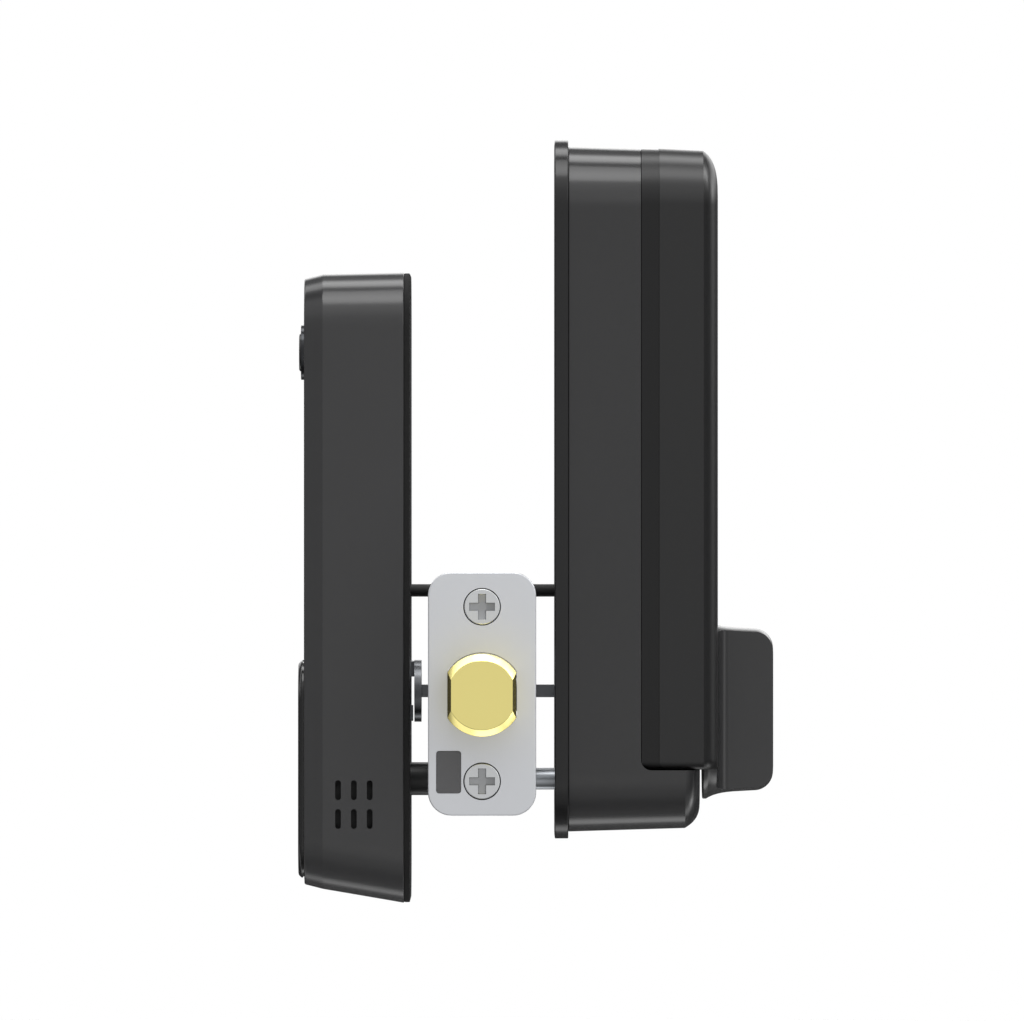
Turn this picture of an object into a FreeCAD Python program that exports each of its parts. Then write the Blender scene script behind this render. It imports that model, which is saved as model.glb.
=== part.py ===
"""Keypad smart lock: touch keypad outside, motor drive inside, latch in the door edge.

Frame: the origin is on the spindle's axis at the door's outside face. +Y goes through the door
to the inside, +X points to the door's edge, where the bolt comes out, and +Z is up.
"""
import FreeCAD, Part

import math
import os

import Sketcher

Vector = FreeCAD.Vector
Rotation = FreeCAD.Rotation

DRIVING = {
    # door and latch
    "door": 34.4, "backset": 60.3, "throw": 25.4,
    "face_wide": 25.4, "face_tall": 57.15, "face_thick": 2.5, "face_corner": 5.5,
    "screw_gap": 41.0, "bolt_dia": 19.3, "bolt_flat": 16.1, "tube_dia": 25.0,
    "tube_wall": 2.3, "tube_back": 30.0, "case_back": 14.0, "barrel": 4.8,
    "arm_reach": 17.96, "arm_pin": 2.0, "tail_low": 5.4, "tail_high": 9.2,
    "shank_dia": 4.0, "head_dia": 8.4, "head_deep": 2.2, "cross_half": 3.05, "cross_arm": 0.95,
    "core_dia": 6.0, "core_drop": 3.0, "tip_round": 1.5,
    # outside unit
    "ext_half": 35.0, "ext_low": 50.1, "ext_high": 99.6, "ext_deep": 25.05,
    "ext_chamfer": 4.35, "ext_corner": 13.5, "gasket": 1.4, "gasket_inset": 0.15, "wall": 2.3,
    "button_high": 80.9, "button_dia": 9.1, "bezel_dia": 13.1,
    "panel_half": 30.5, "panel_low": 11.5, "panel_high": 94.5, "panel_thick": 1.4,
    "ext_draft": 0.4, "ext_rise": 3.3, "ext_bevel": 1.1, "slot_long": 4.7, "slot_wide": 1.36,
    "cover_low": 44.5, "cover_high": 7.3, "cover_half": 17.0, "cover_pivot": 38.0,
    "cover_front": 26.7, "cover_rim": 1.0, "cover_foot": 0.3, "bezel_front": 26.2, "cap_front": 26.65,
    "plug_dia": 12.7, "cylinder_dia": 17.0,
    # inside unit
    "int_half": 34.9, "int_low": 33.2, "int_high": 129.5, "int_corner": 15.0,
    "base_over": 0.7, "base_top": 1.6, "base_foot": 1.65,
    "base_thick": 3.2, "shell_front": 68.8, "split": 54.7, "lid_front": 73.1,
    "lid_low": 18.3, "lid_side": 69.6, "turn_drop": 4.45, "turn_flange": 21.35,
    "turn_start": 69.2, "turn_tip": 86.6, "blade_half": 5.5, "blade_flare": 3.5,
    "blade_foot": 3.8, "shaft": 4.0,
    "island": 24.0, "notch": 24.3, "plate": 1.5,
    "shell_draft": 0.83, "lid_bevel": 59.1, "lid_drop": 0.43, "lid_draft": 0.49, "lid_foot": 2.4,
    "edge_deep": 3.5, "edge_wide": 9.4, "edge_crease": 2.2, "lid_gap": 0.2,
    "bolt_side": 8.0, "bolt_drop": 21.0,
    "cell_dia": 14.4, "tray_low": 48.0, "tray_high": 109.0,
    # gears
    "tooth": 1.0, "gear_teeth": 20.0, "pinion_teeth": 10.0,
    "motor_angle": 45.0, "motor_dia": 12.0,
    # fits
    "fit": 0.05,
}

Y_TURN = Rotation(Vector(1, 0, 0), -90)
X_TURN = Rotation(Vector(0, 1, 0), 90)
Z_TURN = Rotation()
TURNS = {"X": X_TURN, "Y": Y_TURN, "Z": Z_TURN}

doc = FreeCAD.newDocument("keypad_smart_lock")
sheet = doc.addObject("Spreadsheet::Sheet", "Dim")
for row, (word, number) in enumerate(DRIVING.items(), 1):
    sheet.set(f"A{row}", word)
    sheet.set(f"B{row}", str(number))
    sheet.setAlias(f"B{row}", word)
doc.recompute()

NODES = []


def value(text):
    """The number that an expression of the sheet gives."""
    return float(sheet.evalExpression(str(text)))


def keep(item, label):
    """Make an object a sub-part: its label is the name of its file."""
    item.Label = label
    NODES.append(item)
    return item


def place(item, x, y, z):
    """Bind an object's place to the sheet."""
    for axis, text in zip("xyz", (x, y, z)):
        item.setExpression(f"Placement.Base.{axis}", str(text))


# Solids from primitives -------------------------------------------------------------------

def box(x, y, z):
    """A box between pairs of expressions along X, Y and Z."""
    item = doc.addObject("Part::Box", "Box")
    for prop, (low, high) in zip(("Length", "Width", "Height"), (x, y, z)):
        item.setExpression(prop, f"({high}) - ({low})")
    place(item, x[0], y[0], z[0])
    return item


def rod(axis, radius, low, high, across=0, up=0):
    """A round rod from low to high along an axis, at two places across it.

    Along Y the two places are X and Z, along X they are Y and Z, along Z they are X and Y.
    """
    item = doc.addObject("Part::Cylinder", "Rod")
    item.setExpression("Radius", str(radius))
    item.setExpression("Height", f"({high}) - ({low})")
    item.Placement = FreeCAD.Placement(Vector(), TURNS[axis])
    spots = {"Y": (across, low, up), "X": (low, across, up), "Z": (across, up, low)}
    place(item, *spots[axis])
    return item


def cone(axis, radius, tip_radius, low, high, across=0, up=0):
    """A cone from one radius at low to another at high."""
    item = doc.addObject("Part::Cone", "Cone")
    item.setExpression("Radius1", str(radius))
    item.setExpression("Radius2", str(tip_radius))
    item.setExpression("Height", f"({high}) - ({low})")
    item.Placement = FreeCAD.Placement(Vector(), TURNS[axis])
    spots = {"Y": (across, low, up), "X": (low, across, up), "Z": (across, up, low)}
    place(item, *spots[axis])
    return item


def join(*items):
    """The union of several solids."""
    if len(items) == 1:
        return items[0]
    whole = doc.addObject("Part::MultiFuse", "Join")
    whole.Shapes = list(items)
    whole.Refine = True
    return whole


def cut(base, *tools):
    """A solid with the tools taken out of it."""
    rest = doc.addObject("Part::Cut", "Cut")
    rest.Base = base
    rest.Tool = join(*tools)
    rest.Refine = True
    return rest


def overlap(one, other):
    """What two solids share."""
    shared = doc.addObject("Part::MultiCommon", "Shared")
    shared.Shapes = [one, other]
    return shared


def group(*items):
    """Separate solids kept in one piece of the document."""
    several = doc.addObject("Part::Compound", "Group")
    several.Links = list(items)
    return several


def tube(axis, outer, inner, low, high, across=0, up=0):
    """A round tube."""
    return cut(rod(axis, outer, low, high, across, up),
               rod(axis, inner, f"({low}) - 1", f"({high}) + 1", across, up))


def solid(shape):
    """A computed shape as an object of the document."""
    item = doc.addObject("Part::Feature", "Solid")
    item.Shape = shape
    return item


# Solids from sketches ---------------------------------------------------------------------

def new_body():
    """An empty body."""
    return doc.addObject("PartDesign::Body", "Body")


def sketch_at(owner, y, plane="XZ_Plane"):
    """An empty sketch on one of the body's planes, moved along Y as the sheet says."""
    sketch = owner.newObject("Sketcher::SketchObject", "Sketch")
    support = next(one for one in owner.Origin.OriginFeatures if one.Role == plane)
    sketch.AttachmentSupport = [(support, "")]
    sketch.MapMode = "FlatFace"
    sketch.setExpression("AttachmentOffset.Base.z", f"-({y})")
    return sketch


def size_rule(sketch, kind, edge, end, text):
    """Bind the place of one edge's end from the sketch's origin."""
    number = value(text)
    if number >= 0:
        rule = Sketcher.Constraint(kind, -1, 1, edge, end, number)
        sketch.setExpression(f"Constraints[{sketch.addConstraint(rule)}]", str(text))
    else:
        rule = Sketcher.Constraint(kind, edge, end, -1, 1, -number)
        sketch.setExpression(f"Constraints[{sketch.addConstraint(rule)}]", f"-({text})")


def outline(owner, y, x, z, corner, low_corner=None):
    """A rounded rectangle between pairs of expressions along X and Z.

    The two low corners may have a radius of their own.
    """
    sketch = sketch_at(owner, y)
    left, right, low, high = (value(text) for text in (*x, *z))
    radii = [low_corner or corner, corner]
    foot, top = (value(text) for text in radii)
    ends = [((left + foot, low), (right - foot, low)), ((right, low + foot), (right, high - top)),
            ((right - top, high), (left + top, high)), ((left, high - top), (left, low + foot))]
    centres = [(right - foot, low + foot, foot), (right - top, high - top, top),
               (left + top, high - top, top), (left + foot, low + foot, foot)]
    edges = []
    for number, (ends_of, centre) in enumerate(zip(ends, centres)):
        start = math.radians(270 + 90 * number)
        circle = Part.Circle(Vector(centre[0], centre[1], 0), Vector(0, 0, 1), centre[2])
        edges.append(Part.LineSegment(Vector(*ends_of[0], 0), Vector(*ends_of[1], 0)))
        edges.append(Part.ArcOfCircle(circle, start, start + math.pi / 2))
    sketch.addGeometry(edges, False)
    rules = [Sketcher.Constraint("Tangent", edge, 2, (edge + 1) % 8, 1) for edge in range(8)]
    rules += [Sketcher.Constraint("Horizontal", edge) for edge in (0, 4)]
    rules += [Sketcher.Constraint("Vertical", edge) for edge in (2, 6)]
    rules += [Sketcher.Constraint("Equal", 1, 7), Sketcher.Constraint("Equal", 3, 5)]
    sketch.addConstraint(rules)
    for kind, edge, text in (("DistanceX", 2, x[1]), ("DistanceX", 6, x[0]),
                             ("DistanceY", 0, z[0]), ("DistanceY", 4, z[1])):
        size_rule(sketch, kind, edge, 1, text)
    for edge, text, radius in ((1, radii[0], foot), (3, radii[1], top)):
        rule = sketch.addConstraint(Sketcher.Constraint("Radius", edge, radius))
        sketch.setExpression(f"Constraints[{rule}]", str(text))
    return sketch


def disc(owner, y, x, z, radius):
    """A circle across the Y axis."""
    sketch = sketch_at(owner, y)
    circle = Part.Circle(Vector(value(x), value(z), 0), Vector(0, 0, 1), value(radius))
    sketch.addGeometry([circle], False)
    size_rule(sketch, "DistanceX", 0, 3, x)
    size_rule(sketch, "DistanceY", 0, 3, z)
    rule = sketch.addConstraint(Sketcher.Constraint("Radius", 0, value(radius)))
    sketch.setExpression(f"Constraints[{rule}]", str(radius))
    return sketch


def pad(owner, sketch, depth):
    """Material from the sketch towards -Y."""
    feature = owner.newObject("PartDesign::Pad", "Pad")
    feature.Profile = sketch
    feature.setExpression("Length", str(depth))
    return owner


def pocket(owner, sketch, depth):
    """A hollow from the sketch towards +Y."""
    feature = owner.newObject("PartDesign::Pocket", "Pocket")
    feature.Profile = sketch
    feature.setExpression("Length", str(depth))
    return owner


def loft(owner, sketches, smooth=False, hollow=False):
    """Material, or a hollow, that runs through several outlines."""
    kind = "PartDesign::SubtractiveLoft" if hollow else "PartDesign::AdditiveLoft"
    feature = owner.newObject(kind, "Loft")
    feature.Profile = sketches[0]
    feature.Sections = sketches[1:]
    feature.Ruled = not smooth
    return owner


def slab(y_low, y_high, x, z, corner, low_corner=None):
    """A flat plate with rounded corners as a body of its own."""
    owner = new_body()
    shape = outline(owner, y_high, x, z, corner, low_corner)
    return pad(owner, shape, f"({y_high}) - ({y_low})")


def both(text):
    """A pair of expressions, the same distance each side of the middle."""
    return f"-({text})", f"{text}"


# Outside unit -----------------------------------------------------------------------------

SCREW_SPOTS = [(side * 27, height) for side in (-1, 1) for height in (-37, 87)]
FRONT = "-Dim.ext_deep"
INNER_FRONT = "-Dim.ext_deep + 2.4"
PIVOT = "-Dim.cover_pivot"
SLOT_ROWS = (-23.1, -29.9)
SLOT_COLUMNS = (-16.95, -13.2, -9.45)
THROUGH_SIDE = (30, 40)


def exterior_shell_body():
    """The outside casing before its holes: drafted sides, a chamfered front, hollow inside."""
    owner = new_body()
    back, shoulder = "-Dim.gasket", "-Dim.ext_deep + Dim.ext_chamfer"
    draft, edge = "Dim.ext_draft", "(Dim.ext_draft + Dim.ext_bevel)"
    shoulder_size = (both(f"Dim.ext_half - {draft}"),
                     ("-Dim.ext_low + Dim.ext_rise", f"Dim.ext_high - {draft}"),
                     "Dim.ext_corner - 0.2")
    loft(owner, [outline(owner, back, both("Dim.ext_half"), ("-Dim.ext_low", "Dim.ext_high"),
                         "Dim.ext_corner"),
                 outline(owner, shoulder, *shoulder_size)])
    loft(owner, [outline(owner, shoulder, *shoulder_size),
                 outline(owner, FRONT, both(f"Dim.ext_half - {edge}"),
                         ("-Dim.ext_low + Dim.ext_rise + Dim.ext_bevel", f"Dim.ext_high - {edge}"),
                         "Dim.ext_corner - 1.2")])
    hollow = [outline(owner, back, both("Dim.ext_half - Dim.wall"),
                      ("-Dim.ext_low + Dim.wall", "Dim.ext_high - Dim.wall"),
                      "Dim.ext_corner - Dim.wall"),
              outline(owner, INNER_FRONT, both("Dim.ext_half - Dim.wall - 1"),
                      ("-Dim.ext_low + Dim.wall + 3.9", "Dim.ext_high - Dim.wall - 1"),
                      "Dim.ext_corner - Dim.wall")]
    loft(owner, hollow, hollow=True)
    seat = outline(owner, FRONT, both("Dim.panel_half + 0.2"),
                   ("Dim.panel_low - 0.2", "Dim.panel_high + 0.2"), 9.7)
    pocket(owner, seat, "Dim.panel_thick + 0.1")
    window = outline(owner, FRONT, both(27), (14, 70), 4)
    return pocket(owner, window, 5)


def speaker_slots():
    """Six round-ended slots through the casing's +X side."""
    slots = []
    for row in SLOT_ROWS:
        for column in SLOT_COLUMNS:
            side = (f"{column} - Dim.slot_wide/2", f"{column} + Dim.slot_wide/2")
            ends = [f"{row} {sign} (Dim.slot_long - Dim.slot_wide)/2" for sign in "-+"]
            slots.append(box(THROUGH_SIDE, side, ends))
            slots += [rod("X", "Dim.slot_wide/2", *THROUGH_SIDE, column, end) for end in ends]
    return slots


def exterior_housing():
    """The die-cast outside casing with its bosses, bores, speaker slots and port."""
    bosses = [rod("Y", 3.4, INNER_FRONT, "-Dim.gasket", x, z) for x, z in SCREW_SPOTS]
    holes = [rod("Y", 1.5, -12, 1, x, z) for x, z in SCREW_SPOTS]
    holes += [rod("Y", "Dim.bezel_dia/2 + 0.1", -30, -15, 0, "Dim.button_high"),
              rod("Y", "Dim.cylinder_dia/2 + 0.1", -30, -15),
              rod("Y", 2.08, -30, -15, 0, PIVOT),
              box(both(4.7), (-13.8, -10.2), (-52, -42))]
    whole = join(exterior_shell_body(), *bosses)
    return keep(cut(whole, *holes, *speaker_slots()), "exterior_housing")


def exterior_backplate():
    """The steel plate that lies on the door, with two threaded posts for the tie bolts."""
    plate = slab("-Dim.gasket", 0, both(30.5), (-44, 94), 8)
    posts = [rod("Y", 3.8, "-Dim.gasket", 14, side, "-Dim.bolt_drop")
             for side in ("-Dim.bolt_side", "Dim.bolt_side")]
    holes = [rod("Y", 12, -5, 5), rod("Y", 4, -5, 5, 0, 24)]
    holes += [rod("Y", 1.6, -5, 5, x, z) for x, z in SCREW_SPOTS]
    holes += [rod("Y", 2.9, "-Dim.gasket + 0.4", 5, x, z) for x, z in SCREW_SPOTS]
    holes += [rod("Y", 2.5, -5, 20, side, "-Dim.bolt_drop")
              for side in ("-Dim.bolt_side", "Dim.bolt_side")]
    return keep(cut(join(plate, *posts), *holes), "exterior_backplate")


def exterior_gasket():
    """The foam seal round the plate, a little inside the casing's edge."""
    ring = slab("-Dim.gasket", 0, both("Dim.ext_half - Dim.gasket_inset"),
                ("-Dim.ext_low + Dim.gasket_inset", "Dim.ext_high - Dim.gasket_inset"),
                "Dim.ext_corner - Dim.gasket_inset")
    gap = outline(ring, "-Dim.gasket", both(30.8), (-44.3, 94.3), 8.3)
    return keep(pocket(ring, gap, "Dim.gasket"), "exterior_gasket")


def exterior_screws():
    """Four screws that hold the plate to the casing."""
    screws = [join(rod("Y", 2.6, "-Dim.gasket + 0.4", "-0.1", x, z),
                   rod("Y", 1.4, -10, "-Dim.gasket + 0.5", x, z)) for x, z in SCREW_SPOTS]
    return keep(group(*screws), "exterior_screws")


def touch_panel():
    """The black touch panel, flush in the casing's front."""
    owner = slab(FRONT, "-Dim.ext_deep + Dim.panel_thick", both("Dim.panel_half"),
                 ("Dim.panel_low", "Dim.panel_high"), 9.5)
    hole = disc(owner, FRONT, 0, "Dim.button_high", "Dim.bezel_dia/2 + 0.1")
    return keep(pocket(owner, hole, "Dim.panel_thick"), "touch_panel")


def light_guide():
    """The milky sheet behind the panel that lights the digits."""
    return keep(slab("-Dim.ext_deep + Dim.panel_thick + 0.1", -20.5, both(26.8),
                     (14.2, 69.8), 3.8), "light_guide")


def exterior_board():
    """The outside circuit board, open round the key cylinder."""
    owner = slab(-14, -12.4, both(23), (-36, 90), 3)
    hole = outline(owner, -14, both(10), (-15, 10), 4)
    return keep(pocket(owner, hole, 1.6), "exterior_board")


def speaker():
    """The small round sounder behind the slots."""
    body = rod("X", 6.9, 28.5, 31.2, -13.35, -26.8)
    front = rod("X", 6.0, 31.2, 31.8, -13.35, -26.8)
    return keep(join(body, front), "speaker")


def button_bezel():
    """The ring round the button, held behind the casing by its flange."""
    ring = join(rod("Y", "Dim.bezel_dia/2", "-Dim.bezel_front", -20.5, 0, "Dim.button_high"),
                rod("Y", 8.5, f"{INNER_FRONT} + 0.05", -20.5, 0, "Dim.button_high"))
    bore = rod("Y", "Dim.button_dia/2 + 0.15", -30, -15, 0, "Dim.button_high")
    return keep(cut(ring, bore), "button_bezel")


def fingerprint_button():
    """The round push button: a cap with a rounded edge and a flange behind the bezel."""
    head = rod("Y", "Dim.button_dia/2", "-Dim.cap_front + 0.4", -20.2, 0, "Dim.button_high")
    crown = cone("Y", "Dim.button_dia/2 - 0.4", "Dim.button_dia/2", "-Dim.cap_front",
                 "-Dim.cap_front + 0.4", 0, "Dim.button_high")
    flange = rod("Y", 6.2, -20.2, -19.4, 0, "Dim.button_high")
    return keep(join(head, crown, flange), "fingerprint_button")


def button_switch():
    """The switch on the board that the button presses."""
    base = box(both(3), (-18.0, -14), ("Dim.button_high - 3", "Dim.button_high + 3"))
    return keep(join(base, rod("Y", 1.6, -18.8, -18, 0, "Dim.button_high")), "button_switch")


def key_cylinder():
    """The brass cylinder that holds the key plug."""
    shell = rod("Y", "Dim.cylinder_dia/2", "-Dim.ext_deep + 0.1", -4.2)
    chamber = box(both(3.5), (-22.5, -4.2), (-14, 0))
    bore = rod("Y", "Dim.plug_dia/2 + Dim.fit", -30, 0)
    return keep(cut(join(shell, chamber), bore), "key_cylinder")


def key_plug():
    """The plug that the key turns, with its keyway."""
    plug = rod("Y", "Dim.plug_dia/2", "-Dim.ext_deep + 0.1", -4.0)
    keyway = join(box(both(0.65), (-30, -9), (-5.0, 3.4)), box((0, 1.5), (-30, -9), (-1.6, 0.2)))
    return keep(cut(plug, keyway), "key_plug")


def plug_cam():
    """The cam on the plug's end, whose dog picks up the spindle's dog."""
    wheel = rod("Y", 7.5, -4.0, -2.2)
    dog = overlap(box(both(1.6), (-2.3, 0.6), (-8, -3.4)), rod("Y", 7.2, -3, 2))
    return keep(join(wheel, dog), "plug_cam")


def key_cover():
    """The plate over the key cylinder, with a rounded edge; it swings on one pin."""
    owner = new_body()
    steps = 5
    rim = []
    for step in range(steps + 1):
        angle = math.pi / 2 * step / steps
        drop, rise = 1.6 * (1 - math.cos(angle)), f"Dim.cover_rim*{math.sin(angle):.4f}"
        rim.append(outline(owner, f"-Dim.cover_front + Dim.cover_rim - {rise}",
                           both(f"Dim.cover_half - {drop:.4f}"),
                           (f"-Dim.cover_low + {drop:.4f}", f"Dim.cover_high - {drop:.4f}"),
                           f"9 - {drop:.4f}"))
    loft(owner, rim, smooth=True)
    foot = slab("-Dim.cover_front + Dim.cover_rim", f"{FRONT} - Dim.cover_foot",
                both("Dim.cover_half - 0.3"), ("-Dim.cover_low + 0.3", "Dim.cover_high - 0.3"), 8.7)
    return keep(join(owner, foot), "key_cover")


def cover_pin():
    """The pin that the key cover swings on."""
    return keep(rod("Y", 2.0, f"{FRONT} - Dim.cover_foot", -19.5, 0, PIVOT), "cover_pin")


def cover_clip():
    """The clip that keeps the cover's pin in the casing."""
    clip = tube("Y", 4.2, 2.0, -22.6, -21.6, 0, PIVOT)
    gap = box((0, 6), (-23, -21), ("-Dim.cover_pivot - 1", "-Dim.cover_pivot + 1"))
    return keep(cut(clip, gap), "cover_clip")


def emergency_port():
    """The small power socket in the casing's bottom edge."""
    ends = [rod("Z", 1.6, -47.4, -39, side, -12) for side in (-2.9, 2.9)]
    shell = join(box(both(2.9), (-13.6, -10.4), (-47.4, -39)), *ends)
    hollow = join(box(both(2.9), (-13.2, -10.8), (-50, -41)),
                  *[rod("Z", 1.2, -50, -41, side, -12) for side in (-2.9, 2.9)])
    tongue = box(both(2.4), (-12.35, -11.65), (-46.6, -40.9))
    return keep(join(cut(shell, hollow), tongue), "emergency_port")


# Latch in the door's edge -------------------------------------------------------------------

MID = "Dim.door/2"
SEAT = "Dim.backset - Dim.face_thick"
SCREW_Z = ("-Dim.screw_gap/2", "Dim.screw_gap/2")


def bolt_section(low, high, grow=0):
    """The bolt's section, a round with two flats, along X."""
    bar = rod("X", f"Dim.bolt_dia/2 + {grow}", low, high, MID)
    flats = box((low, high), (f"Dim.door/2 - Dim.bolt_flat/2 - {grow}",
                              f"Dim.door/2 + Dim.bolt_flat/2 + {grow}"), (-15, 15))
    return overlap(bar, flats)


def faceplate():
    """The plate in the door's edge, with its screw seats, bolt opening and window."""
    owner = slab("-Dim.backset", f"-({SEAT})", both("Dim.face_wide/2"),
                 ("-Dim.face_tall/2", "Dim.face_tall/2"), "Dim.face_corner")
    owner.Placement = FreeCAD.Placement(Vector(), Rotation(Vector(0, 0, 1), 90))
    place(owner, 0, MID, 0)
    cuts = [bolt_section(40, 70, 0.3), rod("X", "Dim.tube_dia/2 + 0.02", 50,
                                           "Dim.backset - 1.3", MID)]
    for height in SCREW_Z:
        cuts += [rod("X", "Dim.shank_dia/2 + 0.2", 50, 70, MID, height),
                 cone("X", "Dim.shank_dia/2 + 0.2", "Dim.head_dia/2 + 0.2",
                      "Dim.backset - Dim.head_deep", "Dim.backset + 0.001", MID, height)]
    cuts.append(box(("Dim.backset - 1.2", 70), (6.4, 12.3), (-23.35, -13.35)))
    return keep(cut(owner, *cuts), "faceplate")


def cross_recess(height):
    """The cross in a screw's head."""
    depth = ("Dim.backset - 1.3", 70)
    arms = [box(depth, (f"{MID} - {wide}", f"{MID} + {wide}"),
                (f"{height} - {tall}", f"{height} + {tall}"))
            for wide, tall in (("Dim.cross_half", "Dim.cross_arm"),
                               ("Dim.cross_arm", "Dim.cross_half"))]
    return join(*arms)


def faceplate_screws():
    """Two countersunk wood screws, with a slightly thinner neck where they pass the plate."""
    screws = []
    for height in SCREW_Z:
        head = cone("X", "Dim.shank_dia/2 - 0.3", "Dim.head_dia/2", "Dim.backset - Dim.head_deep",
                    "Dim.backset - 0.05", MID, height)
        neck = rod("X", "Dim.shank_dia/2 - 0.3", f"{SEAT} - 0.3", "Dim.backset - Dim.head_deep",
                   MID, height)
        shank = rod("X", "Dim.shank_dia/2", 39, f"{SEAT} - 0.3", MID, height)
        tip = cone("X", 0.3, "Dim.shank_dia/2", 34, 39, MID, height)
        screws.append(cut(join(head, neck, shank, tip), cross_recess(height)))
    return keep(group(*screws), "faceplate_screws")


def sensor_window():
    """The small dark window set in the faceplate."""
    return keep(box(("Dim.backset - 1.15", "Dim.backset - 0.05"), (6.45, 12.25),
                    (-23.3, -13.4)), "sensor_window")


def latch_tube():
    """The round tube behind the faceplate that guides the bolt."""
    return keep(tube("X", "Dim.tube_dia/2", "Dim.tube_dia/2 - Dim.tube_wall", "Dim.tube_back",
                     "Dim.backset - 1.35", MID), "latch_tube")


def latch_case():
    """The cradle behind the tube, open at the top for the cam, bored for its barrel."""
    cradle = tube("X", "Dim.tube_dia/2 - 0.05", "Dim.tube_dia/2 - Dim.tube_wall",
                  "-Dim.case_back", "Dim.tube_back", MID)
    window = box((-20, "Dim.tube_back - 3"), ("Dim.door/2 - 9", "Dim.door/2 + 9"), (5, 20))
    bore = rod("Y", "Dim.barrel + 0.06", 0, "Dim.door")
    return keep(cut(cradle, window, bore), "latch_case")


def bolt():
    """The brass bolt with its chamfered tip and a bore for the hard pin."""
    whole = bolt_section(42, "Dim.backset + Dim.throw")
    taper = cone("X", "Dim.bolt_dia/2 - Dim.tip_round + 10", "Dim.bolt_dia/2 - Dim.tip_round",
                 "Dim.backset + Dim.throw - 10", "Dim.backset + Dim.throw", MID)
    behind = rod("X", 14, 42, "Dim.backset + Dim.throw - 9.9", MID)
    bore = rod("X", "Dim.core_dia/2 + Dim.fit", 41, 78, MID, "-Dim.core_drop")
    slot = box((41, 46), ("Dim.door/2 + 0.9", "Dim.door/2 + 3.1"), (5.2, 9.4))
    return keep(cut(overlap(whole, join(taper, behind)), bore, slot), "bolt")


def bolt_core():
    """The hardened pin inside the bolt that turns with a saw blade."""
    return keep(rod("X", "Dim.core_dia/2", 42.5, 77.8, MID, "-Dim.core_drop"), "bolt_core")


def bolt_tail():
    """The steel strip from the bolt to the cam, with an open fork at its end."""
    plane = ("Dim.door/2 + 1", "Dim.door/2 + 3")
    strip = box((8.0, 45.8), plane, ("Dim.tail_low", "Dim.tail_high"))
    fork = box((8.0, 17.4), plane, ("Dim.tail_low", 20.6))
    slot = box((12.7 - 2.7, 12.7 + 2.7), ("Dim.door/2", "Dim.door/2 + 4"), (10.3, 25))
    return keep(cut(join(strip, fork), slot), "bolt_tail")


def latch_hub():
    """The cam: a barrel in the case, an arm and the pin that moves the fork."""
    barrel = rod("Y", "Dim.barrel", "Dim.door/2 - 12.4", "Dim.door/2 + 12.4")
    arm = box((-4, "Dim.arm_reach + 3"), (f"{MID} - 2.4", f"{MID} + 0.6"), (-3.2, 3.2))
    pin = rod("Y", "Dim.arm_pin", f"{MID} - 2.4", f"{MID} + 3.2", "Dim.arm_reach")
    lever = join(arm, pin)
    lever.Placement = FreeCAD.Placement(Vector(), Rotation(Vector(0, 1, 0), -45))
    flat = box(both(3.3), (-5, 45), both(1.6))
    return keep(cut(join(barrel, lever), flat), "latch_hub")


def spindle():
    """The flat bar through the door, with a dog for the key plug's cam."""
    bar = box(both(3.2), (2.0, 41.0), both(1.5))
    wheel = rod("Y", 7.4, 0.9, 2.6)
    dog = overlap(box(both(1.6), (-1.9, 1.0), (3.4, 8)), rod("Y", 7.2, -3, 2))
    return keep(join(bar, wheel, dog), "spindle")


# Inside unit --------------------------------------------------------------------------------

SCREWS_IN = [(side * 26, height) for side in (-1, 1) for height in (-22, 117)]
POSTS = [(22, 6), (-5, 15), (-17, -16)]
WALL_Y = "Dim.split - 2.2"
TURN_Z = "-Dim.turn_drop"
HUB_Y = (37.8, 41.4)
TURN_Y = (42.4, 46.4)


def interior_plate():
    """The steel plate on the door's inside, with its gearbox posts."""
    plate = slab("Dim.door", "Dim.door + Dim.plate", both(30), (-29, 124), 8)
    holes = [rod("Y", 6.06, 30, 40), rod("Y", 4, 30, 40, 0, 24)]
    holes += [rod("Y", 2.6, 30, 40, side, "-Dim.bolt_drop")
              for side in ("-Dim.bolt_side", "Dim.bolt_side")]
    holes += [rod("Y", 1.6, 30, 40, x, z) for x, z in SCREWS_IN]
    posts = [rod("Y", 2.6, "Dim.door + Dim.plate", 47.2, x, z) for x, z in POSTS]
    return keep(join(cut(plate, *holes), *posts), "interior_plate")


def interior_base_frame():
    """The moulded frame round the plate, a little larger than the casing."""
    ring = slab("Dim.door", "Dim.door + Dim.base_thick", both("Dim.int_half + Dim.base_over"),
                ("-Dim.int_low - Dim.base_foot", "Dim.int_high + Dim.base_top"),
                "Dim.int_corner + Dim.base_over")
    gap = outline(ring, "Dim.door", both(30.3), (-29.3, 124.3), 8.3)
    return keep(pocket(ring, gap, "Dim.base_thick"), "interior_base_frame")


def through_bolts():
    """Two long screws that clamp the two units on the door."""
    bolts = []
    for side in ("-Dim.bolt_side", "Dim.bolt_side"):
        head = rod("Y", 4.0, "Dim.door + Dim.plate", "Dim.door + Dim.plate + 2.4", side,
                   "-Dim.bolt_drop")
        shank = rod("Y", 2.45, 4, "Dim.door + Dim.plate", side, "-Dim.bolt_drop")
        drive = rod("Y", 1.6, 36.6, 45, side, "-Dim.bolt_drop")
        bolts.append(cut(join(head, shank), drive))
    return keep(group(*bolts), "through_bolts")


def soft_edge(steps=6):
    """A front edge that starts with a crease: depths and insets, from its side to its front.

    The section is a parabola whose control point lies at the front, one crease inwards.
    """
    for step in range(steps + 1):
        share = step / steps
        depth = value("Dim.edge_deep") * (1 - (1 - share)**2)
        inset = 2 * share * (1 - share) * value("Dim.edge_crease") + share**2 * value("Dim.edge_wide")
        yield round(depth, 4), round(inset, 4)


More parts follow.
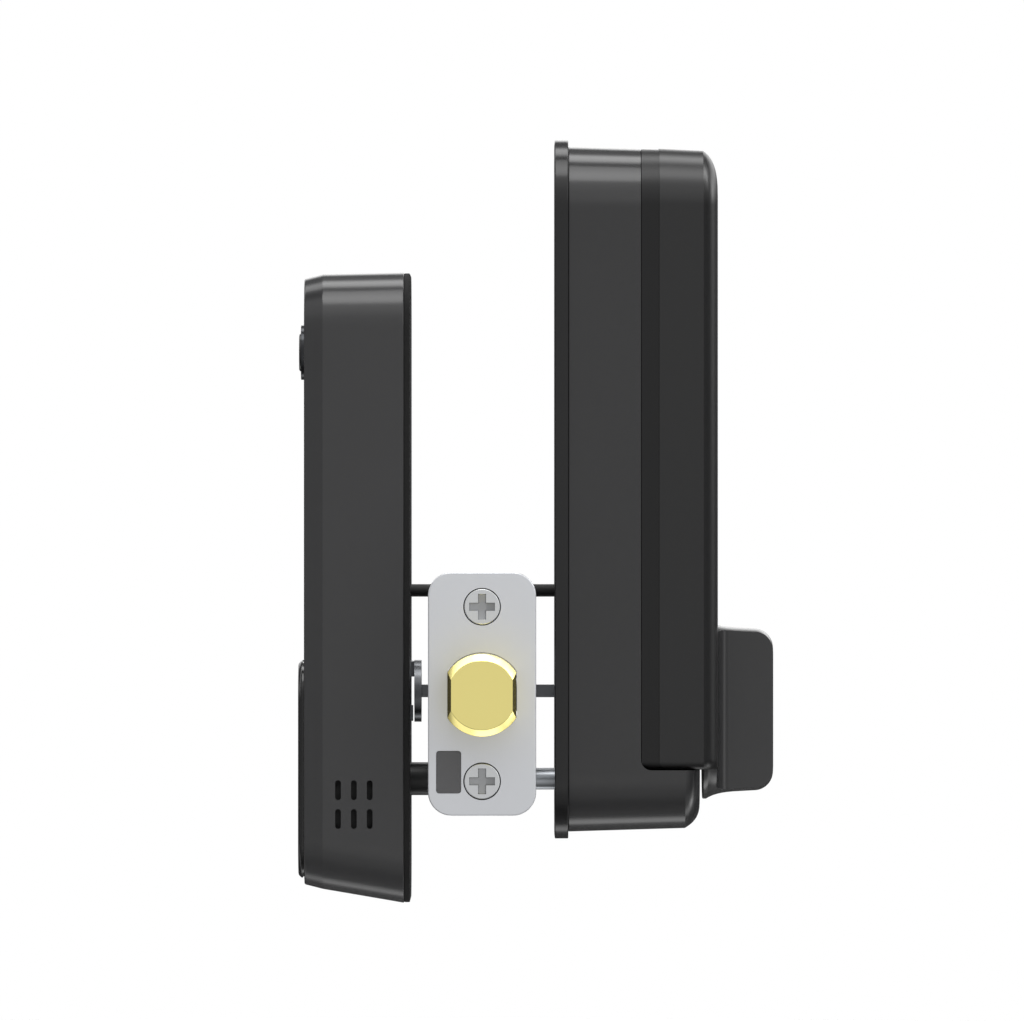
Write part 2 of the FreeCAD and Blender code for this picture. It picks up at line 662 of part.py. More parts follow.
def housing_blank():
    """The inside casing as if it were whole to its front, with a soft front edge."""
    owner = new_body()
    start, end = "Dim.door + Dim.base_thick", "Dim.shell_front - Dim.edge_deep"
    draft = "Dim.shell_draft"
    side = [outline(owner, start, both("Dim.int_half"), ("-Dim.int_low", "Dim.int_high"),
                    "Dim.int_corner"),
            outline(owner, end, both(f"Dim.int_half - {draft}"),
                    (f"-Dim.int_low + {draft}", f"Dim.int_high - {draft}"),
                    f"Dim.int_corner - {draft}")]
    loft(owner, side)
    rim = []
    for depth, inset in soft_edge():
        drop = f"({draft} + {inset})"
        rim.append(outline(owner, f"{end} + {depth}", both(f"Dim.int_half - {drop}"),
                           (f"-Dim.int_low + {drop}", f"Dim.int_high - {drop}"),
                           f"Dim.int_corner - {drop}"))
    return loft(owner, rim, smooth=True)


def lid_heel(radius):
    """What is left outside the lid's rounded heel, the edge where its foot meets the casing."""
    y, z = "Dim.split + Dim.lid_gap + Dim.lid_foot", "-Dim.lid_low + Dim.lid_foot"
    block = box((-50, 50), (f"{y} - {radius}", y), (f"{z} - {radius}", z))
    return cut(block, rod("X", radius, -60, 60, y, z))


def interior_housing():
    """The inside casing: low under the battery lid, full depth at the chin and round the knob."""
    back = box((-50, 50), (30, "Dim.split"), (-60, 150))
    chin = box((-50, 50), (40, 80), (-60, "-Dim.lid_low - Dim.lid_gap"))
    island = rod("Y", "Dim.island", 40, 80, 0, TURN_Z)
    heel = lid_heel("(Dim.lid_foot + Dim.lid_gap)")
    shape = overlap(housing_blank(), join(back, chin, island, heel))
    low = slab(30, WALL_Y, both("Dim.int_half - Dim.wall - 0.4"),
               ("-Dim.int_low + Dim.wall + 0.4", "Dim.int_high - Dim.wall - 0.4"), 12.3)
    deep = overlap(join(rod("Y", "Dim.island - Dim.wall", 40, "Dim.shell_front - Dim.wall", 0,
                            TURN_Z),
                        box((-50, 50), (40, "Dim.shell_front - Dim.wall"),
                            (-60, "-Dim.lid_low - Dim.lid_gap - Dim.wall"))),
                   slab(35, 75, both("Dim.int_half - Dim.wall - 1.2"),
                        ("-Dim.int_low + Dim.wall + 1.2", 120), 11.5))
    bosses = [rod("Y", 3.2, "Dim.door + Dim.plate", 53, x, z) for x, z in SCREWS_IN]
    holes = [rod("Y", 1.45, 30, 46, x, z) for x, z in SCREWS_IN]
    holes += [rod("Y", 6.02, 60, 80, 0, TURN_Z), rod("Y", 2.65, 50, 60, 0, 32),
              box(both(31.4), (50, 60), ("Dim.tray_low - 0.2", "Dim.tray_high + 0.2"))]
    return keep(cut(join(cut(shape, low, deep), *bosses), *holes), "interior_housing")


def housing_screws():
    """Four screws from the plate into the casing's bosses."""
    screws = [rod("Y", 1.4, "Dim.door + 0.2", 45, x, z) for x, z in SCREWS_IN]
    return keep(group(*screws), "housing_screws")


def battery_lid():
    """The battery cover: flush with the casing, with a soft front edge, a heel and a notch."""
    owner = new_body()
    start, side, foot = "Dim.split + Dim.lid_gap", "Dim.lid_side", "Dim.lid_foot"
    wide, top = "Dim.int_half - 0.4", "Dim.int_high - Dim.lid_drop"
    draft = "Dim.lid_draft"
    bevel = outline(owner, "Dim.lid_bevel", both(wide), ("-Dim.lid_low", top), 13.4, foot)
    loft(owner, [outline(owner, start, both(f"{wide} - 0.12"), ("-Dim.lid_low", f"{top} - 0.1"),
                         13.4, foot), bevel])
    loft(owner, [outline(owner, "Dim.lid_bevel", both(wide), ("-Dim.lid_low", top), 13.4, foot),
                 outline(owner, side, both(f"{wide} - {draft}"),
                         ("-Dim.lid_low", f"{top} - {draft}"), 13.1, foot)])
    rim = [outline(owner, f"Dim.lid_front - Dim.edge_deep + {depth}",
                   both(f"{wide} - {draft} - {inset}"),
                   ("-Dim.lid_low", f"{top} - {draft} - {inset}"), f"13.1 - {inset * 0.95:.4f}",
                   foot) for depth, inset in soft_edge()]
    loft(owner, rim, smooth=True)
    hollow = slab(50, side, both(f"{wide} - 2.6"), ("-Dim.lid_low + 2.4", "Dim.int_high - 3.6"),
                  11, 1)
    crown = slab(60, "Dim.lid_front - 2.6", both(f"{wide} - 7"),
                 ("-Dim.lid_low + 4", "Dim.int_high - 9"), 7, 2)
    notch = [rod("Y", "Dim.notch", 50, 80, 0, TURN_Z),
             box(both("Dim.notch"), (50, 80), (-40, TURN_Z))]
    return keep(cut(owner, hollow, crown, *notch, lid_heel(foot)), "battery_lid")


def battery_tray():
    """The open box that holds the four cells."""
    owner = slab(51, 66, both(31.2), ("Dim.tray_low", "Dim.tray_high"), 2)
    hollow = outline(owner, 52.5, both(29.9), ("Dim.tray_low + 1.8", "Dim.tray_high - 1.8"), 1)
    return keep(pocket(owner, hollow, 20), "battery_tray")


CELL_X = [-22.2, -7.4, 7.4, 22.2]
CELL_MID = "(Dim.tray_low + Dim.tray_high)/2"


def battery_cells():
    """Four AA cells side by side, turned end for end in turn."""
    cells = []
    for number, x in enumerate(CELL_X):
        sign = 1 if number % 2 else -1
        ends = sorted([sign * 25.6, -sign * 23.7])
        nub = sorted([sign * 25.6, sign * 26.8])
        can = rod("Z", "Dim.cell_dia/2", f"{CELL_MID} + {ends[0]}", f"{CELL_MID} + {ends[1]}", x,
                  60.2)
        cap = rod("Z", 2.7, f"{CELL_MID} + {nub[0]}", f"{CELL_MID} + {nub[1]}", x, 60.2)
        cells.append(join(can, cap))
    return keep(group(*cells), "battery_cells")


def battery_contacts():
    """The contact plates at the tray's ends, with a cone spring for each flat cell end."""
    pieces = []
    for number, x in enumerate(CELL_X):
        sign = 1 if number % 2 else -1
        for end in (-1, 1):
            face = sorted([end * 28.6, end * 28.0])
            pieces.append(box((x - 5.5, x + 5.5), (54, 66),
                              (f"{CELL_MID} + {face[0]}", f"{CELL_MID} + {face[1]}")))
        if sign > 0:
            pieces.append(cone("Z", 5, 3, f"{CELL_MID} - 28", f"{CELL_MID} - 23.8", x, 60.2))
        else:
            pieces.append(cone("Z", 3, 5, f"{CELL_MID} + 23.8", f"{CELL_MID} + 28", x, 60.2))
    return keep(group(*pieces), "battery_contacts")


def interior_board():
    """The inside circuit board."""
    return keep(slab(42, 43.6, both(27), (20, 110), 3), "interior_board")


def setup_button():
    """The small button under the battery lid that starts pairing."""
    stem = rod("Y", 2.5, 44.4, 55.4, 0, 32)
    return keep(join(stem, rod("Y", 4, 50.8, 52.0, 0, 32)), "setup_button")


def harness_plugs():
    """The plugs at the lead's two ends, on the two boards."""
    return keep(group(box(both(3.5), (-12.4, -7), (21, 27)), box(both(3.5), (37.5, 42), (21, 27))),
                "harness_plugs")


def harness_lead():
    """The lead between the boards, straight through the door above the latch."""
    return keep(rod("Y", 1.5, -7, 37.5, 0, 24), "harness_lead")


# Drive --------------------------------------------------------------------------------------

PRESSURE = math.radians(25)
ADDENDUM, DEDENDUM, BACKLASH = 0.8, 1.0, 0.08


def involute(angle):
    """The involute function of a pressure angle."""
    return math.tan(angle) - angle


def gear_shape(teeth, x, z, span, bore, phase):
    """A spur gear across the Y axis; one tooth points at the phase angle from +X to +Z."""
    module = value("Dim.tooth")
    pitch = module * teeth / 2
    base = pitch * math.cos(PRESSURE)
    root, tip = pitch - DEDENDUM * module, pitch + ADDENDUM * module
    half = (math.pi / 2 - BACKLASH) / teeth + involute(PRESSURE)
    steps = 5
    flank = []
    for step in range(steps + 1):
        radius = max(base, root) + (tip - max(base, root)) * step / steps
        flank.append((radius, half - involute(math.acos(min(1, base / radius)))))
    if root < base:
        flank.insert(0, (root, flank[0][1]))
    points = []
    for tooth in range(teeth):
        middle = phase + 2 * math.pi * tooth / teeth
        side = [(radius, middle - turn) for radius, turn in flank]
        side += [(radius, middle + turn) for radius, turn in reversed(flank)]
        points += [Vector(x + radius * math.cos(turn), span[0], z + radius * math.sin(turn))
                   for radius, turn in side]
    blank = Part.Face(Part.makePolygon(points + points[:1]))
    wheel = blank.extrude(Vector(0, span[1] - span[0], 0))
    hole = Part.makeCylinder(bore, 60, Vector(x, span[0] - 5, z), Vector(0, 1, 0))
    return wheel.cut(hole)


def wheel_places():
    """The gears' centres: knob, spindle, idler between them and the motor's pinion."""
    drop = value("Dim.turn_drop")
    apart = value("Dim.tooth * Dim.gear_teeth")
    near = value("Dim.tooth * (Dim.gear_teeth + Dim.pinion_teeth)/2")
    angle = math.radians(value("Dim.motor_angle"))
    return {"turn": (0, -drop), "spindle": (0, 0),
            "idler": (-math.sqrt(apart ** 2 - (drop / 2) ** 2), -drop / 2),
            "pinion": (near * math.cos(angle), -near * math.sin(angle))}


PLACES = wheel_places()


def heading(start, end):
    """The direction from one gear's centre to another's."""
    return math.atan2(PLACES[end][1] - PLACES[start][1], PLACES[end][0] - PLACES[start][0])


def meshed(driver, follower, phase, driver_teeth, follower_teeth):
    """The follower's phase that puts its gap on the driver's nearest tooth."""
    lean = heading(driver, follower) - phase
    return (heading(follower, driver) + lean * driver_teeth / follower_teeth
            + math.pi / follower_teeth)


def gears():
    """The four gears, each with a tooth in its neighbour's gap."""
    teeth, small = int(value("Dim.gear_teeth")), int(value("Dim.pinion_teeth"))
    idler_phase = heading("idler", "spindle")
    hub_phase = meshed("idler", "spindle", idler_phase, teeth, teeth)
    turn_phase = meshed("idler", "turn", idler_phase, teeth, teeth)
    pinion_phase = meshed("spindle", "pinion", hub_phase, teeth, small)
    hub = gear_shape(teeth, *PLACES["spindle"], HUB_Y, 3, hub_phase)
    boss = Part.makeCylinder(6, HUB_Y[0] - 34.6, Vector(0, 34.6, 0), Vector(0, 1, 0))
    slot = Part.makeBox(6.6, 20, 3.2, Vector(-3.3, 30, -1.6))
    ring = Part.makeCylinder(3.0, 20, Vector(0, 30, 0), Vector(0, 1, 0))
    solid_hub = hub.fuse(boss.cut(ring)).cut(slot).removeSplitter()
    keep(solid(solid_hub), "hub_gear")
    keep(solid(gear_shape(teeth, *PLACES["idler"], (HUB_Y[0], TURN_Y[1]), 2.06, idler_phase)),
         "idler_gear")
    keep(solid(gear_shape(teeth, *PLACES["turn"], TURN_Y, value("Dim.shaft"), turn_phase)),
         "turn_gear")
    keep(solid(gear_shape(small, *PLACES["pinion"], HUB_Y, 1.2, pinion_phase)), "motor_pinion")


def idler_axle():
    """The fixed pin that the idler gear runs on."""
    x, z = PLACES["idler"]
    return keep(rod("Y", 2.0, "Dim.door + Dim.plate", 49.2, x, z), "idler_axle")


def gear_motor():
    """The small motor with its gearhead, and the shaft down to the pinion."""
    x, z = PLACES["pinion"]
    head = rod("Y", "Dim.motor_dia/2", 49.3, 56, x, z)
    can = rod("Y", "Dim.motor_dia/2 - 0.5", 56, 65.5, x, z)
    return keep(join(head, can), "gear_motor")


def motor_shaft():
    """The steel shaft that carries the pinion."""
    x, z = PLACES["pinion"]
    return keep(rod("Y", 1.2, 36.6, 49.25, x, z), "motor_shaft")


def gearbox_plate():
    """The plate over the gears that holds the axle, the knob's bush and the motor."""
    owner = slab(47.2, 49.2, both(25), (-18.4, 19), 3)
    x, z = PLACES["idler"]
    motor_x, motor_z = PLACES["pinion"]
    holes = [rod("Y", 5.0, 40, 60, 0, TURN_Z), rod("Y", 2.0, 40, 60, x, z),
             rod("Y", 1.5, 40, 60, motor_x, motor_z)]
    return keep(cut(owner, *holes), "gearbox_plate")


def turn_bushes():
    """The two bronze bushes that the knob's shaft runs in."""
    inner = "Dim.shaft + Dim.fit"
    rear = tube("Y", 5.0, inner, 46.9, 49.25, 0, TURN_Z)
    front = tube("Y", 6.0, inner, 65.9, "Dim.shell_front", 0, TURN_Z)
    return keep(group(rear, front), "turn_bushes")


def turn_shaft():
    """The knob's shaft, with its gear at the inner end."""
    return keep(rod("Y", "Dim.shaft", "42.4", 76.5, 0, TURN_Z), "turn_shaft")


def shaft_clip():
    """The ring that keeps the knob from pulling out."""
    return keep(tube("Y", 6.5, "Dim.shaft", 64.6, 65.6, 0, TURN_Z), "shaft_clip")


def thumb_turn():
    """The knob: a thin round flange that flares into an upright blade."""
    owner = new_body()
    start, tip, radius = (value(f"Dim.turn_{word}") for word in ("start", "tip", "flange"))
    profile = [(start, radius), (start + 1.4, radius), (start + 2.35, radius - 0.57),
               (start + 3.8, radius - 1.2), (start + 5.2, radius - 1.65),
               (start + 7.2, radius - 2.05), (start + 9.6, radius - 2.27),
               (tip - 4.1, radius - 2.42), (tip - 3.0, radius - 2.7), (tip - 1.9, radius - 3.4),
               (tip - 1.1, radius - 4.0), (tip - 0.5, radius - 4.9), (tip, radius - 6.8)]
    sketch = sketch_at(owner, 0, "YZ_Plane")
    corners = [(start, 0)] + profile + [(tip, 0)]
    edges = [Part.LineSegment(Vector(*one, 0), Vector(*two, 0))
             for one, two in zip(corners, corners[1:] + corners[:1])]
    sketch.addGeometry(edges, False)
    turning = owner.newObject("PartDesign::Revolution", "Revolution")
    turning.Profile = sketch
    turning.ReferenceAxis = (sketch, ["H_Axis"])
    turning.Angle = 360
    place(owner, 0, 0, TURN_Z)
    flare, foot = value("Dim.blade_flare"), start + value("Dim.blade_foot")
    sides = []
    for sign in (-1, 1):
        root = sign * value("Dim.blade_half + Dim.blade_flare")
        face = sign * value("Dim.blade_half")
        sides.append(join(box(sorted([root, sign * 30]), (foot, 90), (-40, 40)),
                          box(sorted([face, sign * 30]), (foot + flare, 90), (-40, 40)),
                          rod("Z", flare, -40, 40, root, foot + flare)))
    bore = rod("Y", "Dim.shaft", 60, 76.5, 0, TURN_Z)
    return keep(cut(owner, *sides, bore), "thumb_turn")


SUB_PARTS = [
    exterior_housing, exterior_backplate, exterior_gasket, exterior_screws, touch_panel,
    light_guide, exterior_board, speaker, button_bezel, fingerprint_button, button_switch,
    key_cylinder, key_plug, plug_cam, key_cover, cover_pin, cover_clip, emergency_port,
    faceplate, faceplate_screws, sensor_window, latch_tube, latch_case, bolt, bolt_core,
    bolt_tail, latch_hub, spindle,
    interior_plate, interior_base_frame, through_bolts, interior_housing, housing_screws,
    battery_lid, battery_tray, battery_cells, battery_contacts, interior_board, setup_button,
    harness_plugs, harness_lead, gears, idler_axle, gear_motor, motor_shaft, gearbox_plate,
    turn_bushes, turn_shaft, shaft_clip, thumb_turn,
]

for make in SUB_PARTS:
    make()
doc.recompute()

for item in doc.Objects:
    if {"Invalid", "Error"} & set(item.State):
        raise RuntimeError(f"{item.Name} ({item.Label}) failed: {item.State}")
for item in NODES:
    if item.Shape.isNull() or not item.Shape.isValid() or not item.Shape.Solids:
        raise RuntimeError(f"{item.Label} has no valid solid")

os.makedirs("parts", exist_ok=True)
for item in NODES:
    item.Shape.exportStep(f"parts/{item.Label}.step")
    size = item.Shape.BoundBox
    print(f"{item.Label:22s} {len(item.Shape.Solids)} solids {item.Shape.Volume:10.1f} mm3 "
          f"X {size.XMin:.1f}..{size.XMax:.1f} Y {size.YMin:.1f}..{size.YMax:.1f} "
          f"Z {size.ZMin:.1f}..{size.ZMax:.1f}")
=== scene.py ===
"""The looks of a keypad smart lock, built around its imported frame.

Everything is in metres in the frame of the lock: the origin is on the spindle's axis at the
door's outside face, +Y goes to the inside, +X to the door's edge, +Z is up.
"""

import logging
import math
from dataclasses import dataclass, field, replace
from enum import Enum
from typing import Sequence

import bmesh
import bpy
from mathutils import Matrix, Vector


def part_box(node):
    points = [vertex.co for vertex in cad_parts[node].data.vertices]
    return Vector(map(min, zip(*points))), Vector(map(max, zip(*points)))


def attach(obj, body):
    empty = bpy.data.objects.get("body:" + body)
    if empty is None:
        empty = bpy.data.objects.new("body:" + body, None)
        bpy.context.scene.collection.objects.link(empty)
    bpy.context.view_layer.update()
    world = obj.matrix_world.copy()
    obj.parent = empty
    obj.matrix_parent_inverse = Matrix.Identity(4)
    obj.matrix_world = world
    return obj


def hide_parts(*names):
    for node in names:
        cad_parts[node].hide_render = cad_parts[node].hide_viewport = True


LOG = logging.getLogger("keypad_lock")
MM = 0.001

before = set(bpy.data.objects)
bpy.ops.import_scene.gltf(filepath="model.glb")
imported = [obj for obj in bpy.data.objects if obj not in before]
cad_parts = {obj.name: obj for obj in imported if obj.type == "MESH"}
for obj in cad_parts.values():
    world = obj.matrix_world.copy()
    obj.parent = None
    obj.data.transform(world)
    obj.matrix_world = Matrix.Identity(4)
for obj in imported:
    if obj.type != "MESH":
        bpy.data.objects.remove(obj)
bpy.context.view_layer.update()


# Nodes and colours --------------------------------------------------------------------------

def linear(hex_colour: str) -> tuple[float, float, float, float]:
    """Turn an sRGB hex colour into linear light.

    Args:
        hex_colour: Six hex digits, such as "1c1c1d".

    Returns:
        Red, green, blue and alpha.
    """
    parts = [int(hex_colour[start:start + 2], 16) / 255 for start in (0, 2, 4)]
    light = [part / 12.92 if part <= 0.04045 else ((part + 0.055) / 1.055) ** 2.4
             for part in parts]
    return (*light, 1.0)


def add(tree: bpy.types.NodeTree, kind: str, links: dict | None = None,
        **settings: object) -> bpy.types.Node:
    """Add a node, with its settings, its plain values and its links.

    Args:
        tree: The tree that the node goes into.
        kind: The node's type, such as "ShaderNodeTexNoise".
        links: An input's name or number, to a value or to another node's output.
        **settings: Properties of the node itself.

    Returns:
        The new node.
    """
    node = tree.nodes.new(kind)
    for name, setting in settings.items():
        setattr(node, name, setting)
    for key, source in (links or {}).items():
        if isinstance(source, bpy.types.NodeSocket):
            tree.links.new(source, node.inputs[key])
        else:
            node.inputs[key].default_value = source
    return node


@dataclass(frozen=True)
class Surface:
    """What every finish has: a name, a colour, a roughness and a fine relief."""

    name: str
    colour: str
    roughness: float
    metallic: float = 0.0
    grain_mm: float = 0.3
    relief_mm: float = 0.004
    mottle: float = 0.06
    coat: float = 0.0
    coat_roughness: float = 0.1
    specular: float = 0.5
    stretch: tuple[float, float, float] = (1.0, 1.0, 1.0)

    def grain(self, tree: bpy.types.NodeTree) -> bpy.types.NodeSocket:
        """The height pattern: isotropic noise at the grain's real size.

        Args:
            tree: The material's node tree.

        Returns:
            A grey output from 0 to 1.
        """
        place = add(tree, "ShaderNodeTexCoord")
        scaled = add(tree, "ShaderNodeMapping", {"Vector": place.outputs["Object"],
                                                 "Scale": self.stretch})
        noise = add(tree, "ShaderNodeTexNoise", {"Vector": scaled.outputs["Vector"],
                                                 "Scale": 1 / (self.grain_mm * MM),
                                                 "Detail": 3.0, "Roughness": 0.55})
        return noise.outputs["Fac"]

    def tint(self, tree: bpy.types.NodeTree) -> bpy.types.NodeSocket:
        """The colour, mottled a little over about 20 mm, as pigment and handling leave it.

        Args:
            tree: The material's node tree.

        Returns:
            A colour output.
        """
        base = linear(self.colour)
        dark = tuple(part * (1 - self.mottle) for part in base[:3]) + (1.0,)
        light = tuple(part * (1 + self.mottle) for part in base[:3]) + (1.0,)
        place = add(tree, "ShaderNodeTexCoord")
        cloud = add(tree, "ShaderNodeTexNoise", {"Vector": place.outputs["Object"],
                                                 "Scale": 1 / (20 * MM), "Detail": 2.0})
        mixed = add(tree, "ShaderNodeMix", {0: cloud.outputs["Fac"], 6: dark, 7: light},
                    data_type="RGBA")
        return mixed.outputs[2]

    def material(self) -> bpy.types.Material:
        """Build the material once and reuse it.

        Returns:
            The material of this finish.
        """
        found = bpy.data.materials.get(self.name)
        if found:
            return found
        made = bpy.data.materials.new(self.name)
        made.use_nodes = True
        tree = made.node_tree
        tree.nodes.clear()
        height = self.grain(tree)
        bump = add(tree, "ShaderNodeBump", {"Height": height, "Distance": self.relief_mm * MM,
                                            "Strength": 1.0})
        rough = add(tree, "ShaderNodeMapRange", {"Value": height,
                                                 "To Min": self.roughness * 0.88,
                                                 "To Max": min(1.0, self.roughness * 1.12)})
        body = add(tree, "ShaderNodeBsdfPrincipled",
                   {"Base Color": self.tint(tree), "Roughness": rough.outputs["Result"],
                    "Metallic": self.metallic, "Normal": bump.outputs["Normal"],
                    "Coat Weight": self.coat, "Coat Roughness": self.coat_roughness,
                    "Specular IOR Level": self.specular})
        self.finish_shader(tree, body)
        add(tree, "ShaderNodeOutputMaterial", {"Surface": body.outputs["BSDF"]})
        return made

    def finish_shader(self, tree: bpy.types.NodeTree, body: bpy.types.Node) -> None:
        """Set what only some finishes have; a plain surface has nothing more."""


@dataclass(frozen=True)
class PaintedRecessShade(Surface):
    """A plated screw head with painted shade: its cross recess, below the face, is darkened towards
    black.
    """

    face_mm: float = 0.0
    shade: float = 0.4

    def tint(self, tree: bpy.types.NodeTree) -> bpy.types.NodeSocket:
        """The plating's colour, with painted shade where it lies below the head's face.

        Args:
            tree: The material's node tree.

        Returns:
            A colour output.
        """
        plain = super().tint(tree)
        place = add(tree, "ShaderNodeTexCoord")
        parts = add(tree, "ShaderNodeSeparateXYZ", {"Vector": place.outputs["Object"]})
        # Painted shade: the colour fades towards black below the head's face, standing in for the
        # shadow in the cross recess.
        depth = add(tree, "ShaderNodeMapRange", {"Value": parts.outputs["X"],
                                                 "From Min": (self.face_mm - 0.9) * MM,
                                                 "From Max": (self.face_mm - 0.15) * MM,
                                                 "To Min": self.shade, "To Max": 1.0})
        mixed = add(tree, "ShaderNodeMix", {0: depth.outputs["Result"], 6: (0, 0, 0, 1),
                                            7: plain}, data_type="RGBA")
        return mixed.outputs[2]


@dataclass(frozen=True)
class Lit(Surface):
    """Light-guiding print: a white ink that glows when the keypad is awake."""

    glow: float = 1.0

    def finish_shader(self, tree: bpy.types.NodeTree, body: bpy.types.Node) -> None:
        """Add the glow to the ink."""
        body.inputs["Emission Color"].default_value = linear(self.colour)
        body.inputs["Emission Strength"].default_value = self.glow


@dataclass(frozen=True)
class Milky(Surface):
    """Diffusing polycarbonate: light goes in and scatters under the skin."""

    depth_mm: float = 2.0

    def finish_shader(self, tree: bpy.types.NodeTree, body: bpy.types.Node) -> None:
        """Let light spread under the skin."""
        body.inputs["Subsurface Weight"].default_value = 0.4
        body.inputs["Subsurface Radius"].default_value = (self.depth_mm * MM,) * 3


@dataclass(frozen=True)
class Board(Surface):
    """Green solder mask over copper: paler tracks show through, in a grid of short runs."""

    track_mm: float = 1.6

    def tint(self, tree: bpy.types.NodeTree) -> bpy.types.NodeSocket:
        """The mask, lighter where a track runs beneath it.

        Args:
            tree: The material's node tree.

        Returns:
            A colour output.
        """
        place = add(tree, "ShaderNodeTexCoord")
        turned = add(tree, "ShaderNodeMapping", {"Vector": place.outputs["Object"],
                                                 "Rotation": (math.pi / 2, 0, 0)})
        tracks = add(tree, "ShaderNodeTexBrick",
                     {"Vector": turned.outputs["Vector"], "Scale": 1 / (self.track_mm * MM * 4),
                      "Color1": linear(self.colour), "Color2": linear("0c4a26"),
                      "Mortar": linear("2f7a48"), "Mortar Size": 0.03, "Bias": 0.2},
                     offset=0.37)
        return tracks.outputs["Color"]


@dataclass(frozen=True)
class Drawn(Surface):
    """Metal with a direction: fine lines from rolling, turning or brushing."""

    turn: float = 0.0

    def finish_shader(self, tree: bpy.types.NodeTree, body: bpy.types.Node) -> None:
        """Stretch the highlight across the lines."""
        body.inputs["Anisotropic"].default_value = 0.35
        body.inputs["Anisotropic Rotation"].default_value = self.turn


class Finish(Enum):
    """The finishes of this lock."""

    # Die-cast zinc with polyester powder: a dull, even black with a slight orange peel.
    POWDERED_ZINC = Surface("powder_coated_zinc", "272728", 0.19, grain_mm=0.45, relief_mm=0.002)
    # The outside casing has a slightly finer powder, and reads a little lighter.
    POWDERED_ZINC_FINE = Surface("fine_powder_coated_zinc", "2f2f30", 0.2, grain_mm=0.35,
                                 relief_mm=0.0015)
    # Injection-moulded ABS from a spark-eroded tool: fine matt texture, soft highlights.
    MOULDED_ABS = Surface("moulded_abs", "101011", 0.3, grain_mm=0.25, relief_mm=0.0015)
    # The band at the lid's foot: the lid's ABS a shade deeper, painted shade for the band's tilt
    # away from the light.
    SHADED_BAND_ABS = Surface("band_abs_painted_shade", "0a0a0b", 0.34, grain_mm=0.6, relief_mm=0.002, specular=0.36)
    # ABS frame behind the casings, from a polished tool: darker and smoother.
    SMOOTH_ABS = Surface("smooth_abs", "0e0e0f", 0.2, grain_mm=0.6, relief_mm=0.001,
                         specular=0.45)
    # Satin-painted polycarbonate on the knob: smooth to the hand, broad highlights.
    SATIN_PC = Surface("satin_polycarbonate", "2a2a2b", 0.2, grain_mm=0.3, relief_mm=0.002,
                       coat=0.1, coat_roughness=0.3)
    # Black enamel, flowed out and polished: nearly a mirror over black.
    GLOSS_ENAMEL = Surface("gloss_black_enamel", "161617", 0.14, grain_mm=6.0, relief_mm=0.001)
    # Cathodic dip coat on the mounting plate: thin, even, half-matt black.
    DIP_COAT = Surface("dip_coated_steel", "121213", 0.4, grain_mm=0.5, relief_mm=0.002)
    # Acrylic printed black on its back, with a hard coat: a deep gloss over flat black.
    PRINTED_ACRYLIC = Surface("back_printed_acrylic", "060607", 0.08, grain_mm=8.0,
                              relief_mm=0.001, coat=1.0, coat_roughness=0.03)
    # Translucent ink over the light guide: cool digits with an even, weak glow.
    LIT_INK = Lit("lit_digit_ink", "dfe9f2", 0.4, glow=0.55)
    # Polycarbonate moulded with a white filler: milky, with no sharp highlight.
    DIFFUSER = Milky("milky_polycarbonate", "e6e6e2", 0.35)
    # Closed-cell EPDM: matt, with tiny cut cells.
    EPDM_FOAM = Surface("epdm_foam", "101010", 0.9, grain_mm=0.5, relief_mm=0.04, mottle=0.12)
    # Rolled steel with bright zinc: faint lines and a bluish, clouded grey.
    ZINC_STEEL = Drawn("zinc_plated_steel", "b9bdc2", 0.32, 1.0, grain_mm=0.25, relief_mm=0.002,
                       mottle=0.1, stretch=(1.0, 1.0, 0.08))
    # Nickel over a blasted plate: an even, soft grey with almost no direction.
    SATIN_NICKEL = Surface("satin_nickel_plate", "e3e5e9", 0.38, 1.0, grain_mm=0.12,
                           relief_mm=0.0012, mottle=0.02)
    # Turned nickel-plated screw heads: brighter than the plate, with painted shade darkening their
    # cross recesses.
    NICKEL_SCREW = PaintedRecessShade("nickel_plated_screw", "dcdee0", 0.34, 1.0, grain_mm=0.3,
                           relief_mm=0.001, mottle=0.03, face_mm=60.25, shade=0.55)
    # Smoked polycarbonate, moulded glossy.
    SMOKED_PC = Surface("smoked_polycarbonate", "4f4f51", 0.3, grain_mm=0.5, relief_mm=0.002)
    # Bright-milled brass, lacquered: warm yellow with very fine lines along the bolt.
    MILLED_BRASS = Drawn("milled_brass", "fff09a", 0.18, 1.0, grain_mm=0.12, relief_mm=0.0008,
                         mottle=0.02, stretch=(1.0, 1.0, 0.06))
    # Brass turned from bar and left bare: duller and browner than the bolt.
    CYLINDER_BRASS = Drawn("turned_brass", "c9ab58", 0.3, 1.0, grain_mm=0.2, relief_mm=0.002,
                           mottle=0.05, stretch=(0.08, 1.0, 1.0))
    # Pressed and sintered bronze, full of oil: dark pores in a brown metal.
    SINTERED_BRONZE = Surface("sintered_bronze", "8a6238", 0.55, 1.0, grain_mm=0.18,
                              relief_mm=0.01, mottle=0.2)
    # Hardened and ground steel, oiled: dark grey with a sharp sheen.
    GROUND_STEEL = Drawn("ground_hardened_steel", "77797c", 0.28, 1.0, grain_mm=0.15,
                         relief_mm=0.001, mottle=0.08, stretch=(0.1, 1.0, 1.0))
    # Nickel over rolled spring steel: bright and a little warm.
    SPRING_NICKEL = Surface("nickel_plated_spring_steel", "c3c1bb", 0.25, 1.0, grain_mm=0.4,
                            relief_mm=0.001, mottle=0.04)
    # Black chrome over a turned ring: a dark mirror, a little soft.
    BLACK_CHROME = Surface("black_chrome_ring", "3a3b3d", 0.18, 1.0, grain_mm=0.5,
                           relief_mm=0.0008, mottle=0.03)
